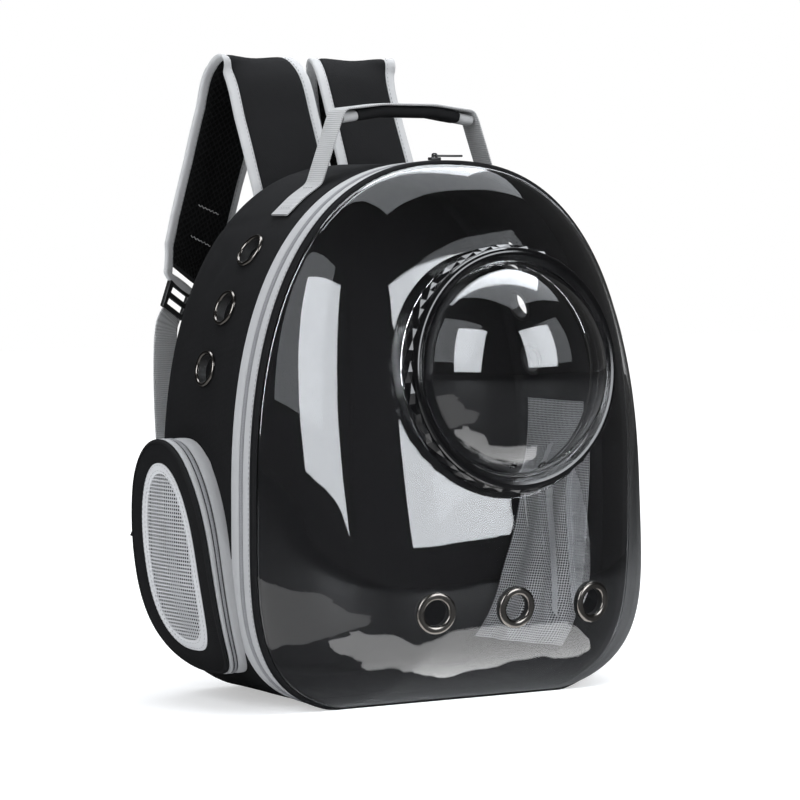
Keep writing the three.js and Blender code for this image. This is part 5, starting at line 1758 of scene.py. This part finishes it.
@dataclass
class ShoulderStrap:
    """One padded strap with its edge tape, ladder lock and webbing."""

    finishes: Finishes
    side: Side
    width: float = 76 * MM
    wall: float = 8 * MM
    edge_width: float = 9 * MM
    edge_wall: float = 4.5 * MM
    root: float = 345 * MM
    rise: float = 159 * MM
    reach: float = 76 * MM
    spread: float = 42 * MM
    plane_y: float = 84.3 * MM
    gap: float = 0.3 * MM
    webbing_width: float = 25 * MM
    webbing_wall: float = 1.8 * MM
    lock_length: float = 24 * MM
    back_y: float = 80 * MM
    steps: int = 150
    rows: tuple[tuple[float, float, float, float, float], ...] = (
        (0, 0, 1, 0, 1), (0.14, 0.005, 1, 0, 1), (0.28, 0.03, 1, 0, 1), (0.44, 0.16, 1, -3, 1),
        (0.7, 0.42, 1, -5, 1), (0.93, 0.66, 1.02, -4, 1), (1, 0.84, 1.12, 2, 1), (0.93, 0.99, 1.26, 9, 1),
        (0.72, 1.07, 1.46, 16, 1), (0.42, 1.09, 1.78, 20, 1), (0.14, 1.07, 2.1, 21, 1),
        (-0.02, 1.05, 2.32, 22, 0.92), (-0.13, 1.02, 2.52, 23, 0.6))
    tail_rows: tuple[tuple[float, float, float], ...] = (
        (0.58, 0.95, 2.98), (0.35, 0.6, 3.05), (0.215, 0.24, 2.88), (0.15, 0.05, 2.71),
        (0.11, 0.004, 2.64), (0.07, 0, 2.6))

    @property
    def pad_width(self) -> float:
        """The width between the two edge tapes."""
        return self.width - 2 * (self.edge_width + self.gap)

    def stations(self) -> list[tuple[Station, Vector]]:
        """Stations along the strap with their directions of travel."""
        points = [Vector((self.side.value * self.spread * spread, self.plane_y + self.reach * reach,
                          self.root + self.rise * rise)) for rise, reach, spread, _, _ in self.rows]
        curve = Spline(points)
        found = []
        for i in range(self.steps + 1):
            share = i / self.steps
            row = share * (len(self.rows) - 1)
            low = min(int(row), len(self.rows) - 2)
            turn, width = (mix(self.rows[low][k], self.rows[low + 1][k], row - low) for k in (3, 4))
            along = curve.along(share)
            angle = math.radians(turn)
            flat = Vector((math.cos(angle), -self.side.value * math.sin(angle), 0))
            across = (flat - along * flat.dot(along)).normalized()
            found.append((Station(curve.at(share), across, across.cross(along).normalized(), width), along))
        return found

    def build(self) -> None:
        """Makes the strap with everything on it."""
        label = self.side.label
        pairs = self.stations()
        stations = [station for station, _ in pairs]
        outline = oval(self.pad_width + 1.5 * MM, self.wall, 4.5, 40)
        pad = strip(f"strap_{label}_pad_soft", stations[:-4], outline, under=range(20, 40))
        fit(pad, Slot.STRAP, [self.finishes.strap, self.finishes.air_mesh], f"strap_{label}_pad")
        self.build_edges(label, pairs)
        lock = softened_copy(f"strap_{label}_lock", 0.8 * MM, 3)
        fit(lock, Slot.BUCKLE, self.finishes.buckle, f"strap_{label}_lock")
        self.build_webbing(label, pairs[-1])

    def edge_stations(self, pairs: Sequence[tuple[Station, Vector]]) -> list[Station]:
        """One line down one edge, round the end and back up the other edge."""
        def offset(station: Station, end: int) -> Vector:
            """The middle of the tape on one edge."""
            reach = station.width * self.pad_width / 2 + self.edge_width / 2 + self.gap
            return station.centre + station.across * (end * reach)

        last, along = pairs[-1]
        down = [Station(offset(s, -1), s.across, s.out) for s, _ in pairs]
        up = [Station(offset(s, 1), s.across * -1, s.out) for s, _ in reversed(pairs)]
        half = last.width * self.pad_width / 2 + self.edge_width / 2 + self.gap
        turn = []
        for i in range(1, 24):
            angle = math.pi * i / 24
            ahead = along * (4.5 * MM * math.sin(angle) ** 0.6)
            centre = last.centre - last.across * (half * math.cos(angle)) + ahead
            across = last.across * math.cos(angle) - along * math.sin(angle)
            turn.append(Station(centre, across.normalized(), last.out))
        return down + turn + up

    def build_edges(self, label: str, pairs: Sequence[tuple[Station, Vector]]) -> None:
        """The pale tape folded over the edges, with its stitches on both faces."""
        stations = self.edge_stations(pairs)
        tape = strip(f"strap_{label}_edge_tape", stations, oval(self.edge_width, self.edge_wall, 3.4, 20))
        fit(tape, Slot.EDGE_TAPE, self.finishes.edge_tape, f"strap_{label}_binding")
        stitches = Stitching(f"strap_{label}_stitches")
        for face in (-1, 1):
            line = [s.centre + s.across * (self.edge_width * 0.27) + s.out * (face * self.edge_wall * 0.485)
                    for s in stations]
            stitches.run(line, [s.out * face for s in stations], thick=0.5 * MM)
        stitches.finish(Slot.EDGE_TAPE, self.finishes.thread)
        tacks = Stitching(f"strap_{label}_tacks")
        for share in (0.8, 0.86):
            station, along = pairs[round(share * self.steps)]
            base = station.centre - station.out * (self.wall * 0.5 + 0.1 * MM)
            line = [base + station.across * mix(-13 * MM, 15 * MM, k / 12) + along * ((k % 2) * 1.2 * MM)
                    for k in range(13)]
            tacks.run(line, [station.out * -1] * 13, length=2.4 * MM, pitch=2.2 * MM, thick=0.8 * MM)
        tacks.finish(Slot.EDGE_TAPE, self.finishes.edge_tape)

    def build_webbing(self, label: str, end: tuple[Station, Vector]) -> None:
        """The webbing from the ladder lock down to the foot of the back."""
        last, along = end
        rest_y = self.back_y + self.gap + self.webbing_wall / 2
        start = last.centre + along * (self.edge_width / 2 + self.lock_length + 3 * self.gap)
        lead = start + along * (self.lock_length / 2)
        rows = [start, lead] + [Vector((self.side.value * out * self.spread, rest_y + behind * self.reach,
                                        height * self.root)) for height, behind, out in self.tail_rows]
        curve = Spline(rows)
        stations = []
        for i in range(97):
            share = i / 96
            ahead = curve.along(share)
            flat = last.across.lerp(Vector((1, 0, 0)), min(2 * share, 1))
            across = (flat - ahead * flat.dot(ahead)).normalized()
            stations.append(Station(curve.at(share), across, across.cross(ahead).normalized()))
        webbing = strip(f"strap_{label}_webbing_ribbed", stations,
                        oval(self.webbing_width, self.webbing_wall, 9, 20))
        fit(webbing, Slot.WEBBING, self.finishes.webbing, f"strap_{label}_webbing")


def build_sliders(finishes: Finishes) -> None:
    """The three zip sliders and the pull tabs that turn on them."""
    for name in ("main", "pocket_left", "pocket_right"):
        slider = softened_copy(f"{name}_slider", 0.45 * MM)
        fit(slider, Slot.PULL, finishes.pull, f"{name}_slider")
        pull = softened_copy(f"{name}_pull", 0.5 * MM)
        fit(pull, Slot.PULL, finishes.pull, f"{name}_pull", body=f"{name}_pull_body")


# Studio


@dataclass
class Studio:
    """Camera, soft lights and a pale floor."""

    look: Vector = field(default_factory=lambda: Vector((0.52543, 0.84896, -0.05643)))
    stand: Vector = field(default_factory=lambda: Vector((-1.3986, -2.2661, 0.3817)))
    lens: float = 150.13
    middle: Vector = field(default_factory=lambda: Vector((0, -0.06, 0.23)))

    def add_camera(self) -> None:
        """Puts the camera where the picture was taken from."""
        camera = bpy.data.cameras.new("camera")
        camera.lens = self.lens
        camera.sensor_width = 36
        thing = bpy.data.objects.new("camera", camera)
        thing.location = self.stand
        thing.rotation_euler = self.look.to_track_quat("-Z", "Y").to_euler()
        bpy.context.scene.collection.objects.link(thing)
        bpy.context.scene.camera = thing

    def add_box(self, name: str, azimuth: float, height: float, away: float,
                size: tuple[float, float], strength: float, mirrored: bool) -> None:
        """Adds a soft box that faces the pack.

        Args:
            name: The light's name.
            azimuth: Degrees from the front towards +X.
            height: Degrees above the floor.
            away: Its distance.
            size: Width and height.
            strength: Brightness of its face.
            mirrored: True for a box that only shines in gloss, False for one that only lights.
        """
        a, e = math.radians(azimuth), math.radians(height)
        toward = Vector((math.sin(a) * math.cos(e), -math.cos(a) * math.cos(e), math.sin(e)))
        light = bpy.data.lights.new(name, "AREA")
        light.shape = "RECTANGLE"
        light.size, light.size_y = size
        light.energy = strength * math.pi * size[0] * size[1]
        light.color = (0.92, 0.955, 1.0)
        thing = bpy.data.objects.new(name, light)
        thing.location = self.middle + toward * away
        thing.rotation_euler = (-toward).to_track_quat("-Z", "Y").to_euler()
        thing.visible_camera = False
        thing.visible_diffuse = not mirrored
        thing.visible_glossy = mirrored
        bpy.context.scene.collection.objects.link(thing)

    def add_lights(self) -> None:
        """The left, right and overhead soft boxes."""
        self.add_box("left box", -58, 22, 1.98, (1.0, 1.5), 8.5, True)
        self.add_box("right box", 17, 23, 2.03, (1.15, 1.3), 8.5, True)
        self.add_box("overhead box", 165, 71, 1.95, (2.5, 0.95), 6.5, True)
        self.add_box("left fill", -75, 30, 1.9, (1.4, 1.4), 2.7, False)
        self.add_box("right fill", 35, 25, 2.2, (1.4, 1.4), 2.2, False)
        self.add_box("overhead fill", 120, 75, 1.7, (1.8, 1.8), 3.4, False)

    def add_floor(self) -> None:
        """A pale floor with a soft glow, so that it runs into the white ground; in gloss it turns dark grey
        with glowing areas, as painted reflections.
        """
        shape = bmesh.new()
        bmesh.ops.create_grid(shape, x_segments=2, y_segments=2, size=6)
        floor = new_piece("floor", shape)
        material, desk, shader, _ = new_material("Pale floor")
        places = desk.add("ShaderNodeTexCoord")
        wear = desk.group("Wear", Vector=places.outputs["Object"], Size=1.5)
        path = desk.add("ShaderNodeLightPath")
        pale = desk.blend(wear.outputs["Slow"], (0.8, 0.8, 0.8, 1), (0.84, 0.84, 0.84, 1))
        mirrored = path.outputs["Is Glossy Ray"]
        # Painted reflection: the floor is drawn dark grey wherever it is seen in gloss.
        desk.feed(shader.inputs["Base Color"], desk.blend(mirrored, pale, (0.1, 0.1, 0.1, 1)))
        shader.inputs["Roughness"].default_value = 0.7
        away = desk.add("ShaderNodeVectorMath", operation="LENGTH")
        desk.feed(away.inputs[0], places.outputs["Object"])
        far = desk.math("SMOOTH_MIN", desk.math("MULTIPLY", away.outputs["Value"], 0.5), 1.0, 0.4)
        glow = desk.math("MULTIPLY", desk.span(far, 0.4, 1.05), path.outputs["Is Camera Ray"])
        # Painted reflections: glowing areas of the floor that only gloss sees.
        patches = desk.math("MULTIPLY", self.floor_patches(desk, places.outputs["Object"]), mirrored)
        shader.inputs["Emission Color"].default_value = (1, 1, 1, 1)
        desk.feed(shader.inputs["Emission Strength"], desk.math("ADD", glow, patches))
        floor.data.materials.append(material)

    @staticmethod
    def floor_patches(desk: NodeDesk, places: Socket) -> Socket:
        """Painted reflections: glowing areas of the floor, near and to the left, that show only in gloss,
        where the clear front mirrors them.
        """
        axes = desk.add("ShaderNodeSeparateXYZ")
        desk.feed(axes.inputs[0], places)
        ragged = desk.math("MULTIPLY", desk.math("SUBTRACT", desk.noise(places, 9), 0.5), 0.16)
        front = desk.math("ADD", axes.outputs["Y"], ragged)
        side = desk.math("ADD", axes.outputs["X"], ragged)
        near = desk.math("COMPARE", front, -0.2, 0.045)
        middle = desk.math("COMPARE", side, -0.05, 0.17)
        left = desk.math("COMPARE", side, -0.47, 0.24)
        behind = desk.math("COMPARE", front, 0.0, 0.34)
        bright = desk.math("MULTIPLY", desk.math("MULTIPLY", near, middle), 2.4)
        return desk.math("MULTIPLY_ADD", desk.math("MULTIPLY", left, behind), 0.7, bright)

    def add_world(self) -> None:
        """White behind the pack, dim to its sides."""
        world = bpy.data.worlds.new("studio")
        bpy.context.scene.world = world
        world.use_nodes = True
        desk = NodeDesk(world.node_tree)
        ground = world.node_tree.nodes["Background"]
        path = desk.add("ShaderNodeLightPath")
        straight = desk.math("LESS_THAN", path.outputs["Glossy Depth"], 0.5)
        through = desk.math("MULTIPLY", path.outputs["Is Transmission Ray"], straight)
        seen = desk.math("MAXIMUM", path.outputs["Is Camera Ray"], through)
        matt = desk.math("MULTIPLY_ADD", path.outputs["Is Diffuse Ray"], 0.2, 0.05)
        desk.feed(ground.inputs["Strength"], desk.math("MAXIMUM", seen, matt))
        ground.inputs["Color"].default_value = (1, 1, 1, 1)

    def build(self) -> None:
        """Sets up the whole studio."""
        self.add_camera()
        self.add_lights()
        self.add_floor()
        self.add_world()
        scene = bpy.context.scene
        scene.view_settings.view_transform = "Standard"
        scene.view_settings.look = "None"


def main() -> None:
    """Builds the pack sub-assembly by sub-assembly."""
    logging.basicConfig(level=logging.INFO, format="%(name)s %(message)s")
    make_effects()
    Studio().build()
    finishes = Finishes()
    body = FabricBody(finishes)
    pockets = [SidePocket(finishes, body, side) for side in Side]
    body.build_gusset([pocket.window_cutter() for pocket in pockets])
    body.build_eyelets()
    body.build_back_panel()
    ZipBand(finishes).build()
    front = ClearFront(finishes)
    front.build_shell()
    front.build_ring()
    front.build_bubble()
    for pocket in pockets:
        pocket.build()
    for side in Side:
        InnerNet(finishes, body, side).build()
        ShoulderStrap(finishes, side).build()
    CarryHandle(finishes).build()
    build_sliders(finishes)


if __name__ == "__main__":
    main()
